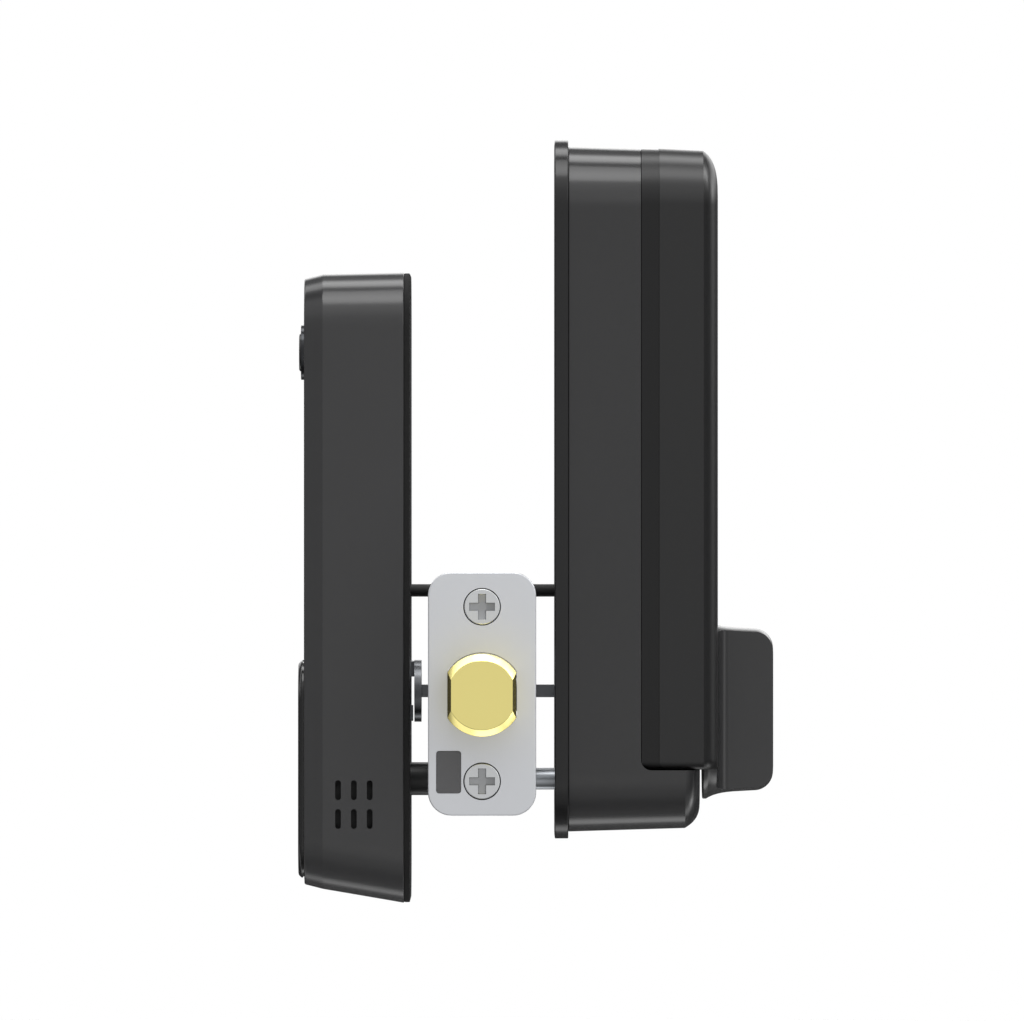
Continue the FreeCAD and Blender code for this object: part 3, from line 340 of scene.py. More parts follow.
    # Black ceramic film on the sensor: silky, between gloss and matt.
    CERAMIC_FILM = Surface("black_ceramic_film", "121213", 0.24, grain_mm=0.4, relief_mm=0.0008,
                           coat=0.4, coat_roughness=0.2)
    # Epoxy glass board under printed solder mask: green, half gloss.
    SOLDER_MASK = Board("green_solder_mask", "0f5a30", 0.3, grain_mm=1.0, relief_mm=0.01)
    # Natural acetal: off-white, waxy, from a polished tool.
    ACETAL = Surface("natural_acetal", "d9d6ca", 0.42, grain_mm=0.8, relief_mm=0.003)
    # Shrunk film on the cells: smooth, slightly glossy.
    CELL_FILM = Surface("cell_film_wrap", "24262b", 0.25, grain_mm=1.5, relief_mm=0.004)
    # The same film printed in copper colour: a soft, half-metallic band.
    CELL_COPPER = Surface("cell_copper_film", "b0733c", 0.3, 0.6, grain_mm=1.5, relief_mm=0.004)
    # Glass-filled nylon, moulded: matt and nearly black.
    SOUNDER = Surface("moulded_sounder", "161617", 0.6, grain_mm=0.2, relief_mm=0.005)
    # Extruded soft PVC: dull black.
    PVC_SHEATH = Surface("pvc_sheath", "131313", 0.5, grain_mm=0.4, relief_mm=0.004)

    def on(self, piece: bpy.types.Object) -> bpy.types.Object:
        """Give a piece this finish alone.

        Args:
            piece: The object to dress.

        Returns:
            The same object.
        """
        piece.data.materials.clear()
        piece.data.materials.append(self.value.material())
        return piece


# Meshes -------------------------------------------------------------------------------------

@dataclass(frozen=True)
class Outline:
    """A rounded rectangle across the Y axis, in millimetres."""

    y: float
    half: float
    low: float
    high: float
    radius: float
    low_radius: float | None = None

    def inset(self, by: float, y: float | None = None) -> "Outline":
        """The same outline drawn in by a distance, in its own plane or another."""
        foot = self.radius if self.low_radius is None else self.low_radius
        return Outline(self.y if y is None else y, self.half - by, self.low + by,
                       self.high - by, max(0.3, self.radius - by), max(0.3, foot - by))

    def mix(self, other: "Outline", share: float) -> "Outline":
        """An outline part of the way to another."""
        mine, theirs = self.numbers(), other.numbers()
        return Outline(*[one + (two - one) * share for one, two in zip(mine, theirs)])

    def numbers(self) -> tuple[float, ...]:
        """The outline's six sizes."""
        foot = self.radius if self.low_radius is None else self.low_radius
        return (self.y, self.half, self.low, self.high, self.radius, foot)

    def reach(self, other: "Outline") -> float:
        """How far apart two outlines are at their sides."""
        return math.hypot(other.y - self.y, other.half - self.half,
                          0.5 * (other.low - self.low))

    def slab(self, far: float, by: float) -> list["Outline"]:
        """The path of a flat piece from here to a second Y, with caps drawn in by a distance."""
        front = replace(self, y=far)
        return [self.inset(by), self, front, front.inset(by)]

    def points(self, steps: int) -> list[tuple[float, float, float]]:
        """The outline's points in mm, in order.

        Args:
            steps: How many edges each corner has.

        Returns:
            Four corners of steps + 1 points each.
        """
        _, half, low, high, top, foot = self.numbers()
        corners = [(half - foot, low + foot, foot, 270), (half - top, high - top, top, 0),
                   (top - half, high - top, top, 90), (foot - half, low + foot, foot, 180)]
        points = []
        for x, z, radius, start in corners:
            for step in range(steps + 1):
                angle = math.radians(start + 90 * step / steps)
                points.append((x + radius * math.cos(angle), self.y,
                               z + radius * math.sin(angle)))
        return points


def soften(path: Sequence[Outline], rounding: dict[int, tuple[float, float]],
           steps: int = 6) -> list[Outline]:
    """Round the bends of a path of outlines.

    Args:
        path: The outlines, from one cap to the other.
        rounding: The number of an outline to how far before and after it the bend starts.
        steps: How many rings each bend gets.

    Returns:
        The longer path.
    """
    smooth: list[Outline] = []
    for number, outline in enumerate(path):
        if number not in rounding:
            smooth.append(outline)
            continue
        before, after = rounding[number]
        start = outline.mix(path[number - 1], before / outline.reach(path[number - 1]))
        end = outline.mix(path[number + 1], after / outline.reach(path[number + 1]))
        for step in range(steps + 1):
            share = step / steps
            smooth.append(start.mix(outline, share).mix(outline.mix(end, share), share))
    return smooth


def link(name: str, data: bpy.types.ID) -> bpy.types.Object:
    """Put a mesh, a curve or a light into the scene as an object."""
    piece = bpy.data.objects.new(name, data)
    bpy.context.scene.collection.objects.link(piece)
    return piece


def mesh_object(name: str, work: bmesh.types.BMesh, sharp_degrees: float = 32) -> bpy.types.Object:
    """Make an object of a bmesh, smooth but for its sharp edges.

    Args:
        name: The piece's name.
        work: The mesh; it is freed.
        sharp_degrees: Edges that bend more than this stay sharp.

    Returns:
        The object, linked to the scene.
    """
    bmesh.ops.remove_doubles(work, verts=work.verts, dist=1e-7)
    bmesh.ops.recalc_face_normals(work, faces=work.faces)
    mesh = bpy.data.meshes.new(name)
    work.to_mesh(mesh)
    work.free()
    piece = link(name, mesh)
    mark_sharp(piece, sharp_degrees)
    return piece


def mark_sharp(piece: bpy.types.Object, degrees: float) -> None:
    """Shade a mesh smooth and mark the edges that bend more than an angle."""
    work = bmesh.new()
    work.from_mesh(piece.data)
    limit = math.radians(degrees)
    for edge in work.edges:
        edge.smooth = len(edge.link_faces) == 2 and edge.calc_face_angle(0.0) < limit
    for face in work.faces:
        face.smooth = True
    work.to_mesh(piece.data)
    work.free()


def even_light(piece: bpy.types.Object) -> bpy.types.Object:
    """Weight a mesh's normals by face area, so that flat faces look flat.

    Args:
        piece: The object.

    Returns:
        The same object.
    """
    weighted = piece.modifiers.new("even_light", "WEIGHTED_NORMAL")
    weighted.keep_sharp = True
    weighted.weight = 80
    return piece


def bridge(work: bmesh.types.BMesh, rings: Sequence[Sequence[bmesh.types.BMVert]]) -> None:
    """Join rings of points with faces, one ring to the next, and fill the first and the last.

    Args:
        work: The mesh.
        rings: Rings with the same number of points.
    """
    count = len(rings[0])
    for ring, following in zip(rings, rings[1:]):
        for number in range(count):
            other = (number + 1) % count
            work.faces.new((ring[number], ring[other], following[other], following[number]))
    work.faces.new(rings[0])
    work.faces.new(rings[-1])


def lofted(name: str, sections: Sequence[Sequence[Sequence[float]]],
           sharp_degrees: float = 32) -> bpy.types.Object:
    """A closed mesh through sections with the same number of points.

    Args:
        name: The piece's name.
        sections: Each section's points in mm, in order.
        sharp_degrees: Edges that bend more than this stay sharp.

    Returns:
        The object.
    """
    work = bmesh.new()
    bridge(work, [[work.verts.new(Vector(point) * MM) for point in section]
                  for section in sections])
    return mesh_object(name, work, sharp_degrees)


def skin(name: str, path: Sequence[Outline], steps: int = 14) -> bpy.types.Object:
    """A closed mesh through a path of outlines.

    Args:
        name: The piece's name.
        path: The outlines, from one cap to the other.
        steps: How many edges each corner has.

    Returns:
        The object.
    """
    return lofted(name, [outline.points(steps) for outline in path])


def prism(name: str, outline: Outline, far: float) -> bpy.types.Object:
    """A straight bar from an outline to a second Y in mm."""
    return skin(name, [outline, replace(outline, y=far)])


def face_edge(piece: bpy.types.Object, middle: float) -> None:
    """Turn a piece drawn towards -Y to face +X, at a middle along Y in mm."""
    piece.data.transform(Matrix.Translation((0, middle * MM, 0))
                         @ Matrix.Rotation(math.radians(90), 4, "Z"))


def frame_for(axis: str, spot: Sequence[float]) -> Matrix:
    """The matrix that lays a turned piece's Z axis along an axis of the lock, at a spot in mm."""
    turns = {"Y": Matrix.Rotation(math.radians(-90), 4, "X"),
             "X": Matrix.Rotation(math.radians(90), 4, "Y"), "Z": Matrix.Identity(4)}
    return Matrix.Translation(Vector(spot) * MM) @ turns[axis]


def ring_of(work: bmesh.types.BMesh, place: Matrix, along: float,
            radii: Sequence[float]) -> list[bmesh.types.BMVert]:
    """Points round an axis, evenly spread, one for each radius.

    Args:
        work: The mesh that gets the points.
        place: The matrix that lays Z along the axis.
        along: The ring's distance along the axis, in mm.
        radii: Each point's radius.

    Returns:
        The points.
    """
    points = []
    for number, radius in enumerate(radii):
        angle = 2 * math.pi * number / len(radii)
        points.append(work.verts.new(place @ (Vector((radius * math.cos(angle),
                                                      radius * math.sin(angle), along)) * MM)))
    return points


def turned(name: str, profile: Sequence[tuple[float, float]], axis: str = "Y",
           spot: Sequence[float] = (0, 0, 0), segments: int = 64) -> bpy.types.Object:
    """A turned piece.

    Args:
        name: The piece's name.
        profile: Pairs of distance along the axis and radius, in mm; closed when it ends
            where it started, and otherwise closed by its two end radii of 0.
        axis: X, Y or Z.
        spot: The point that the distances start from, in mm.
        segments: How many sides the circle has.

    Returns:
        The object.
    """
    work = bmesh.new()
    place = frame_for(axis, spot)
    rings = []
    for along, radius in profile:
        if radius <= 0:
            rings.append([work.verts.new(place @ Vector((0, 0, along * MM)))])
            continue
        rings.append(ring_of(work, place, along, [radius] * segments))
    looped = profile[0] == profile[-1]
    if looped:
        for vertex in rings.pop():
            work.verts.remove(vertex)
        rings.append(rings[0])
    for ring, following in zip(rings, rings[1:]):
        for number in range(segments):
            other = (number + 1) % segments
            corners = [ring[number % len(ring)], ring[other % len(ring)],
                       following[other % len(following)], following[number % len(following)]]
            distinct = list(dict.fromkeys(corners))
            if len(distinct) > 2:
                work.faces.new(distinct)
    return mesh_object(name, work)


def rod(name: str, low: float, high: float, radius: float, axis: str = "Y",
        spot: Sequence[float] = (0, 0, 0), segments: int = 64) -> bpy.types.Object:
    """A plain round bar.

    Args:
        name: The piece's name.
        low: Where it starts along the axis, in mm.
        high: Where it ends.
        radius: Its radius.
        axis: X, Y or Z.
        spot: The point that the distances start from, in mm.
        segments: How many sides it has.

    Returns:
        The bar.
    """
    profile = [(low, 0), (low, radius), (high, radius), (high, 0)]
    return turned(name, profile, axis, spot, segments)


def arc(centre: tuple[float, float], radius: float, start: float, end: float,
        steps: int = 6) -> list[tuple[float, float]]:
    """Points of an arc in a profile, from one angle in degrees to another.

    Args:
        centre: The arc's centre along and across the axis.
        radius: Its radius.
        start: The first angle; 0 points along the axis, 90 outwards.
        end: The last angle.
        steps: How many edges it has.

    Returns:
        The points.
    """
    angles = [math.radians(start + (end - start) * step / steps) for step in range(steps + 1)]
    return [(centre[0] + radius * math.cos(angle), centre[1] + radius * math.sin(angle))
            for angle in angles]


def block(name: str, x: tuple[float, float], y: tuple[float, float], z: tuple[float, float],
          edge: float = 0.0) -> bpy.types.Object:
    """A box between pairs of sizes in mm, with its edges eased.

    Args:
        name: The piece's name.
        x: Low and high X.
        y: Low and high Y.
        z: Low and high Z.
        edge: The radius of its edges; 0 leaves them sharp.

    Returns:
        The object.
    """
    work = bmesh.new()
    bmesh.ops.create_cube(work, size=1.0)
    for vertex in work.verts:
        vertex.co = Vector([(pair[0] + pair[1]) / 2 + part * (pair[1] - pair[0])
                            for part, pair in zip(vertex.co, (x, y, z))]) * MM
    if edge:
        bmesh.ops.bevel(work, geom=work.edges[:], offset=edge * MM, segments=3, profile=0.5,
                        affect="EDGES")
    return mesh_object(name, work)


def slot_cutter(name: str, axis: str, low: float, high: float, spot: Sequence[float],
                length: float, width: float) -> bpy.types.Object:
    """A round-ended bar that cuts a slot, long along Z for an X cutter and along X for a Z one.

    Args:
        name: The piece's name.
        axis: X or Z, the way that it cuts.
        low: Where it starts along that axis, in mm.
        high: Where it ends.
        spot: The point that its sizes start from, in mm.
        length: The slot's whole length.
        width: Its width.

    Returns:
        The bar.
    """
    radius, straight = width / 2, length / 2 - width / 2
    points = []
    for side, start in ((1, 0), (-1, 180)):
        for step in range(13):
            angle = math.radians(start + 180 * step / 12)
            points.append((radius * math.cos(angle), side * straight + radius * math.sin(angle)))
    sections = []
    for along in (low, high):
        spread = [(along, across, up) if axis == "X" else (up, across, along)
                  for across, up in points]
        sections.append([[one + two for one, two in zip(point, spot)] for point in spread])
    return lofted(name, sections)


def carve(piece: bpy.types.Object, *tools: bpy.types.Object,
          sharp_degrees: float = 32) -> bpy.types.Object:
    """Cut tools out of a piece and throw the tools away.

    Args:
        piece: The object that stays.
        *tools: The objects that go.
        sharp_degrees: Edges that bend more than this stay sharp.

    Returns:
        The piece.
    """
    for tool in tools:
        cutting = piece.modifiers.new("carve", "BOOLEAN")
        cutting.operation, cutting.solver, cutting.object = "DIFFERENCE", "EXACT", tool
        settle(piece)
        bpy.data.objects.remove(tool)
    work = bmesh.new()
    work.from_mesh(piece.data)
    bmesh.ops.remove_doubles(work, verts=work.verts, dist=1e-7)
    bmesh.ops.dissolve_degenerate(work, edges=work.edges, dist=1e-7)
    work.to_mesh(piece.data)
    work.free()
    mark_sharp(piece, sharp_degrees)
    return piece


def settle(piece: bpy.types.Object) -> None:
    """Turn a piece's modifiers into its mesh."""
    graph = bpy.context.evaluated_depsgraph_get()
    graph.update()
    final = bpy.data.meshes.new_from_object(piece.evaluated_get(graph))
    old = piece.data
    piece.modifiers.clear()
    piece.data = final
    bpy.data.meshes.remove(old)


def ease(piece: bpy.types.Object, width: float, degrees: float = 40,
         segments: int = 2) -> bpy.types.Object:
    """Ease the sharp edges of a carved piece by a width in mm.

    Args:
        piece: The object.
        width: The width of the ease.
        degrees: Only edges that bend more than this are eased.
        segments: How many edges the ease has.

    Returns:
        The piece.
    """
    eased = piece.modifiers.new("ease", "BEVEL")
    eased.width, eased.segments = width * MM, segments
    eased.limit_method, eased.angle_limit = "ANGLE", math.radians(degrees)
    eased.miter_outer = "MITER_ARC"
    settle(piece)
    mark_sharp(piece, 45)
    return piece


def threaded(name: str, length: float, core: float, crest: float, pitch: float, axis: str,
             spot: Sequence[float], sides: int = 28) -> bpy.types.Object:
    """A threaded shank, with a true helix.

    Args:
        name: The piece's name.
        length: Its length in mm, from the spot along the axis.
        core: The radius at the bottom of the thread.
        crest: The radius at its top.
        pitch: How far apart the turns are.
        axis: X, Y or Z.
        spot: Where it starts, in mm.
        sides: How many sides the circle has.

    Returns:
        The object.
    """
    work = bmesh.new()
    place = frame_for(axis, spot)
    rows = int(length / pitch * 8)
    rings = []
    for row in range(rows + 1):
        along = length * row / rows
        shares = [(along / pitch + number / sides) % 1 for number in range(sides)]
        ridges = [max(0.0, 1 - abs(share - 0.5) * 3.2) for share in shares]
        rings.append(ring_of(work, place, along, [core + (crest - core) * ridge
                                                  for ridge in ridges]))
    bridge(work, rings)
    return mesh_object(name, work, 50)


def stand_for(piece: bpy.types.Object, body: str, node: str, finish: Finish) -> bpy.types.Object:
    """Dress a piece, let it ride on its body and put it in the place of a node."""
    finish.on(piece)
    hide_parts(node)
    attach(piece, body)
    LOG.info("%s stands for %s on %s", piece.name, node, body)
    return piece


def ride_along(piece: bpy.types.Object, body: str, finish: Finish) -> bpy.types.Object:
    """Dress an added piece and let it ride on its body."""
    finish.on(piece)
    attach(piece, body)
    LOG.info("%s rides on %s", piece.name, body)
    return piece


def span(node: str) -> tuple[Vector, Vector]:
    """A node's lowest and highest corner in mm."""
    low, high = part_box(node)
    return low / MM, high / MM


def middle_of(node: str, along: str) -> float:
    """A node's middle along x, y or z, in mm."""
    low, high = span(node)
    return (getattr(low, along) + getattr(high, along)) / 2


# Outside unit -------------------------------------------------------------------------------

@dataclass
class OutsideUnit:
    """The keypad unit: casing, seal, touch panel with its digits, button, key cover and power
    socket.
    """

    corner: float = 13.5
    draft: float = 0.4
    shoulder: float = 4.35
    chamfer: float = 1.1
    bottom_rise: float = 3.3
    wall: float = 2.3
    cover_chamfer: float = 0.75
    slot_rows: tuple[float, ...] = (-23.1, -29.9)
    slot_columns: tuple[float, ...] = (-16.95, -13.2, -9.45)
    slot_size: tuple[float, float] = (4.7, 1.36)
    digit_rows: tuple[str, ...] = ("123", "456", "789", " 0 ")
    digit_pitch: tuple[float, float] = (17.0, 14.0)
    digit_height: float = 6.6
    digit_top: float = 63.5
    ring_bore: float = 6.65
    barrel_bore: float = 8.6
    pivot_bore: float = 2.08
    port_y: float = -12.0

    def build(self) -> None:
        """Build every piece of the unit."""
        self.casing()
        self.seal()
        self.panel()
        self.digits()
        self.button()
        self.cover()
        self.port()

    def casing(self) -> bpy.types.Object:
        """The casing: drafted sides, a narrow sloped band and an eased front edge.

        Returns:
            The casing.
        """
        low, high = span("exterior_housing")
        back = Outline(high.y, high.x, low.z, high.z, self.corner)
        bend = Outline(low.y + self.shoulder, high.x - self.draft, low.z + self.bottom_rise,
                       high.z - self.draft, self.corner - 0.2)
        front = Outline(low.y, bend.half - self.chamfer, bend.low + self.chamfer,
                        bend.high - self.chamfer, self.corner - 1.2)
        path = [back.inset(6), back, bend, front, front.inset(6)]
        shell = skin("outside_casing", soften(path, {1: (0.3, 0.3), 2: (0.25, 0.25),
                                                     3: (0.4, 0.4)}), 18)
        hollow = skin("hollow", [back.inset(self.wall, back.y + 1), back.inset(self.wall),
                                 replace(front.inset(self.wall, low.y + 2.4),
                                         low=front.low + self.wall)])
        panel_low, panel_high = span("touch_panel")
        seat = Outline(low.y - 1, panel_high.x + 0.12, panel_low.z - 0.12, panel_high.z + 0.12, 9.6)
        recess = prism("recess", seat, panel_high.y + 0.05)
        view = Outline(low.y - 1, 27, 14, 70, 4)
        window = prism("window", view, low.y + 5)
        bores = [self.bore(self.ring_bore, middle_of("button_bezel", "z")),
                 self.bore(self.barrel_bore, 0),
                 self.bore(self.pivot_bore, middle_of("cover_pin", "z"))]
        length, width = self.slot_size
        slots = [slot_cutter("slot", "X", 30, 40, (0, column, row), length, width)
                 for row in self.slot_rows for column in self.slot_columns]
        mouth = slot_cutter("mouth", "Z", -55, -42, (0, self.port_y, 0), 9.4, 3.6)
        carve(shell, hollow, recess, window, *bores, mouth, *slots)
        return stand_for(even_light(shell), "casings", "exterior_housing",
                         Finish.POWDERED_ZINC_FINE)

    def bore(self, radius: float, height: float) -> bpy.types.Object:
        """A cutter through the front at a height above the spindle, in mm."""
        return rod("bore", -30, -15, radius, spot=(0, 0, height))

    def seal(self) -> bpy.types.Object:
        """The foam seal, soft at its edges."""
        low, high = span("exterior_gasket")
        rim = Outline(low.y, high.x, low.z, high.z, self.corner - 0.15)
        ring = skin("outside_seal", soften(rim.slab(high.y, 4),
                                           {1: (0.3, 0.3), 2: (0.3, 0.3)}, 3))
        gap = Outline(low.y - 1, 30.8, -44.3, 94.3, 8.3)
        carve(ring, prism("gap", gap, high.y + 1))
        return stand_for(even_light(ring), "casings", "exterior_gasket", Finish.EPDM_FOAM)

    def panel(self) -> bpy.types.Object:
        """The acrylic touch panel with a ground edge and a bore for the button's ring."""
        low, high = span("touch_panel")
        rim = Outline(high.y, high.x, low.z, high.z, 9.5)
        sheet = skin("touch_panel_sheet", soften(rim.slab(low.y, 3), {2: (0.25, 0.25)}, 3))
        carve(sheet, self.bore(self.ring_bore, middle_of("button_bezel", "z")))
        return stand_for(even_light(sheet), "casings", "touch_panel", Finish.PRINTED_ACRYLIC)

    def digits(self) -> None:
        """The digits 0 to 9 in lit ink, in the usual telephone order."""
        low, _ = span("touch_panel")
        across, down = self.digit_pitch
        for row, line in enumerate(self.digit_rows):
            for column, digit in enumerate(line):
                if digit == " ":
                    continue
                spot = ((column - 1) * across, low.y - 0.005, self.digit_top - row * down)
                ride_along(self.digit(digit, spot), "casings", Finish.LIT_INK)

    def digit(self, text: str, spot: Sequence[float]) -> bpy.types.Object:
        """One digit as a thin print on the panel.

        Args:
            text: The digit.
            spot: Its middle in mm.

        Returns:
            The print as a mesh.
        """
        curve = bpy.data.curves.new("digit_" + text, "FONT")
        curve.body, curve.size = text, self.digit_height * 1.38 * MM
        curve.align_x, curve.align_y = "CENTER", "CENTER"
        curve.extrude = 0.01 * MM
        drawn = link("digit_curve", curve)
        graph = bpy.context.evaluated_depsgraph_get()
        mesh = bpy.data.meshes.new_from_object(drawn.evaluated_get(graph))
        bpy.data.objects.remove(drawn)
        mesh.transform(Matrix.Translation(Vector(spot) * MM)
                       @ Matrix.Rotation(math.radians(90), 4, "X"))
        return link("digit_" + text, mesh)

    def button(self) -> None:
        """The chrome ring and the sensor cap with its rounded edge."""
        low, high = span("button_bezel")
        cap_low, cap_high = span("fingerprint_button")
        centre = (0, 0, (low.z + high.z) / 2)
        outer, inner = 6.55, 4.7
        ring = [(high.y, inner), (high.y, 8.5), (high.y - 2.2, 8.5), (high.y - 2.2, outer)]
        ring += arc((low.y + 0.14, outer - 0.14), 0.14, 90, 180, 4)
        ring += arc((low.y + 0.5, inner + 0.5), 0.5, 180, 270, 5)
        ring.append(ring[0])
        stand_for(even_light(turned("button_ring", ring, spot=centre, segments=96)), "casings",
                  "button_bezel", Finish.BLACK_CHROME)
        edge = 0.5
        cap = [(cap_high.y, 0), (cap_high.y, 6.2), (cap_high.y - 0.8, 6.2),
               (cap_high.y - 0.8, 4.55)]
        cap += arc((cap_low.y + edge, 4.55 - edge), edge, 90, 172, 8)
        cap += [(cap_low.y + 0.06, 2.4), (cap_low.y + 0.16, 0)]
        stand_for(turned("sensor_cap", cap, spot=centre, segments=96), "fingerprint_button",
                  "fingerprint_button", Finish.CERAMIC_FILM)

    def cover(self) -> None:
        """The key cover: a plate with a rounded edge on a thinner foot."""
        low, high = span("key_cover")
        foot = Outline(high.y, high.x - 0.3, low.z + 0.3, high.z - 0.3, 8.7)
        rim = foot.inset(-0.3, high.y - 0.35)
        edge = replace(rim, y=low.y + self.cover_chamfer)
        front = rim.inset(self.cover_chamfer, low.y)
        path = [foot.inset(5), foot, replace(foot, y=rim.y), rim, edge, front, front.inset(7)]
        plate = skin("key_cover_plate", soften(path, {4: (0.2, 0.3), 5: (0.3, 0.6)}, 5), 18)
        stand_for(even_light(plate), "key_cover", "key_cover", Finish.GLOSS_ENAMEL)

    def port(self) -> None:
        """The emergency power socket: a drawn steel mouth round a black tongue."""
        low, high = span("emergency_port")
        spot = (0, self.port_y, 0)
        mouth = slot_cutter("power_socket", "Z", low.z, high.z, spot, 9.0, 3.2)
        carve(mouth, slot_cutter("hollow", "Z", low.z - 1, high.z - 1.5, spot, 8.2, 2.4))
        stand_for(even_light(mouth), "casings", "emergency_port", Finish.ZINC_STEEL)
        tongue = block("socket_tongue", (-2.4, 2.4), (self.port_y - 0.35, self.port_y + 0.35),
                       (low.z + 0.8, high.z - 1.4), 0.1)
        ride_along(tongue, "casings", Finish.SOUNDER)


# Latch --------------------------------------------------------------------------------------

@dataclass
class EdgeLatch:
    """The latch in the door's edge: plate, screws, window and bolt."""

    screw_half: float = 20.5
    head_radius: float = 4.2
    arm: float = 3.05
    arm_half: float = 0.95
    recess: float = 1.7
    bolt_tip: tuple[float, float, float] = (2.3, 1.55, 0.84)

    def build(self) -> None:
        """Build every visible piece of the latch."""
        self.plate()
        self.screws()
        self.window()
        self.bolt()

    def middle(self) -> float:
        """The latch's middle along Y, in mm."""
        return middle_of("faceplate", "y")

    def plate(self) -> bpy.types.Object:
        """The edge plate: eased front edge, bolt opening, screw seats and window pocket.

        Returns:
            The plate.
        """
        low, high = span("faceplate")
        half = (high.y - low.y) / 2
        back = Outline(-low.x, half, low.z, high.z, 5.5)
        plate = skin("edge_plate", soften(back.slab(-high.x, 3), {2: (0.35, 0.35)}, 4), 16)
        face_edge(plate, self.middle())
        hole = self.bolt_bar("hole", 40, 70, 0.12)
        seat = rod("seat", 50, 59, 12.52, "X", (0, self.middle(), 0), 96)
        tools = [seat, hole]
        for side in (-1, 1):
            sink = [(50, 0), (50, 2.2), (high.x - 2.2, 2.2), (high.x - 0.9, 4.3),
                    (high.x - 0.1, 4.42), (high.x + 1, 4.55), (high.x + 1, 0)]
            tools.append(turned("sink", sink, "X", (0, self.middle(), side * self.screw_half), 72))
        pane_low, pane_high = span("sensor_window")
        pocket = Outline(-70, (pane_high.y - pane_low.y) / 2 + 0.06, pane_low.z - 0.06,
                         pane_high.z + 0.06, 0.75)
        cutter = prism("pocket", pocket, -high.x + 1.2)
        face_edge(cutter, middle_of("sensor_window", "y"))
        carve(plate, *tools, cutter)
        return stand_for(even_light(plate), "casings", "faceplate", Finish.SATIN_NICKEL)

    def bolt_bar(self, name: str, low: float, high: float, grow: float,
                 tip: tuple[float, float, float] = (0.0, 0.0, 0.0)) -> bpy.types.Object:
        """A bar with the bolt's section: a round with two flats.

        Args:
            name: The piece's name.
            low: Where it starts along X, in mm.
            high: Where it ends.
            grow: How much wider than the bolt it is all round.
            tip: How long the tip's chamfer is, and how far it goes in on the rounds
                and on the flats.

        Returns:
            The bar.
        """
        bolt_low, bolt_high = span("bolt")
        radius = (bolt_high.z - bolt_low.z) / 2 + grow
        flat = (bolt_high.y - bolt_low.y) / 2 + grow
        length, round_by, flat_by = tip
        shares = (-0.04, 0.04, 0.96, 1.0) if length else (0.0,)
        rings = [(low, 0.0, 0.0)]
        for share in shares:
            inward = max(0.0, share) if share < 1 else 1.04
            rings.append((high - length * (1 - min(share, 0.99)), round_by * inward,
                          flat_by * inward))
        if length:
            rings[-1] = (high, *rings[-1][1:])
        sections = []
        steps = 28
        for along, round_in, flat_in in rings:
            r, f = radius - round_in, flat - flat_in
            meet = math.acos(min(1, f / r))
            section = []
            for start, end in ((meet, math.pi - meet), (math.pi + meet, 2 * math.pi - meet)):
                for step in range(steps + 1):
                    angle = start + (end - start) * step / steps
                    section.append((along, self.middle() + r * math.cos(angle),
                                    r * math.sin(angle)))
            sections.append(section)
        return lofted(name, sections, 24)

    def screws(self) -> None:
        """Two countersunk wood screws with cross recesses and real threads."""
        low, high = span("faceplate_screws")
        pieces = []
        for side in (-1, 1):
            spot = (0, self.middle(), side * self.screw_half)
            top = high.x - 0.02
            head = [(top - 5, 0), (top - 5, 1.85), (top - 2.25, 2.0)]
            head += [(top - 0.22, self.head_radius - 0.02), (top - 0.08, self.head_radius - 0.04)]
            head += [(top, self.head_radius - 0.18), (top, 0)]
            cap = turned("screw_head", head, "X", spot, 64)
            carve(cap, *self.cross(top, spot), sharp_degrees=28)
            pieces.append(cap)
            pieces.append(threaded("screw_thread", top - 4.8 - low.x, 1.35, 2.0, 1.8, "X",
                                   (low.x, *spot[1:])))
            point = turned("screw_point", [(low.x - 0.05, 0), (low.x + 0.2, 0.5),
                                           (low.x + 3.2, 1.36), (low.x + 3.2, 0)], "X", spot, 24)
            pieces.append(point)
        stand_for(merge("edge_plate_screws", pieces), "casings", "faceplate_screws",
                  Finish.NICKEL_SCREW)

    def cross(self, top: float, spot: Sequence[float]) -> list[bpy.types.Object]:
        """The two cutters of a cross recess, each with a sloping floor.

        Args:
            top: The head's face along X, in mm.
            spot: The screw's axis.

        Returns:
            A cutter along Y and one along Z.
        """
        ends = [(self.arm, 0.5), (self.arm - 0.15, 0.35 - self.recess),
                (1.0, -self.recess)]
        floor = ends + [(-reach, rise) for reach, rise in reversed(ends)]
        arms = []
        for along_y in (True, False):
            sections = []
            for side in (-1, 1):
                section = []
                for reach, rise in floor:
                    across = side * self.arm_half * (1 + 0.1 * rise)
                    y, z = (reach, across) if along_y else (across, reach)
                    section.append((top + rise, spot[1] + y, spot[2] + z))
                sections.append(section)
            arms.append(lofted("arm", sections))
        return arms

    def window(self) -> None:
        """The sensor's window, flush in the plate."""
        low, high = span("sensor_window")
        rim = Outline(-low.x, (high.y - low.y) / 2, low.z, high.z, 0.7)
        pane = skin("sensor_pane", soften(rim.slab(-high.x, 0.8), {2: (0.12, 0.12)}, 3), 6)
        face_edge(pane, middle_of("sensor_window", "y"))
        stand_for(even_light(pane), "casings", "sensor_window", Finish.SMOKED_PC)

    def bolt(self) -> None:
        """The brass bolt: two flats, a chamfered tip and a bored tail end."""
        low, high = span("bolt")
        bar = self.bolt_bar("brass_bolt", low.x, high.x, 0.0, self.bolt_tip)
        bore = rod("bore", 41, 78, 3.05, "X", (0, self.middle(), -3))
        groove = block("groove", (41, 46), (self.middle() + 0.9, self.middle() + 3.1), (5.2, 9.4))
        carve(bar, bore, groove, sharp_degrees=24)
        stand_for(even_light(bar), "bolt", "bolt", Finish.MILLED_BRASS)


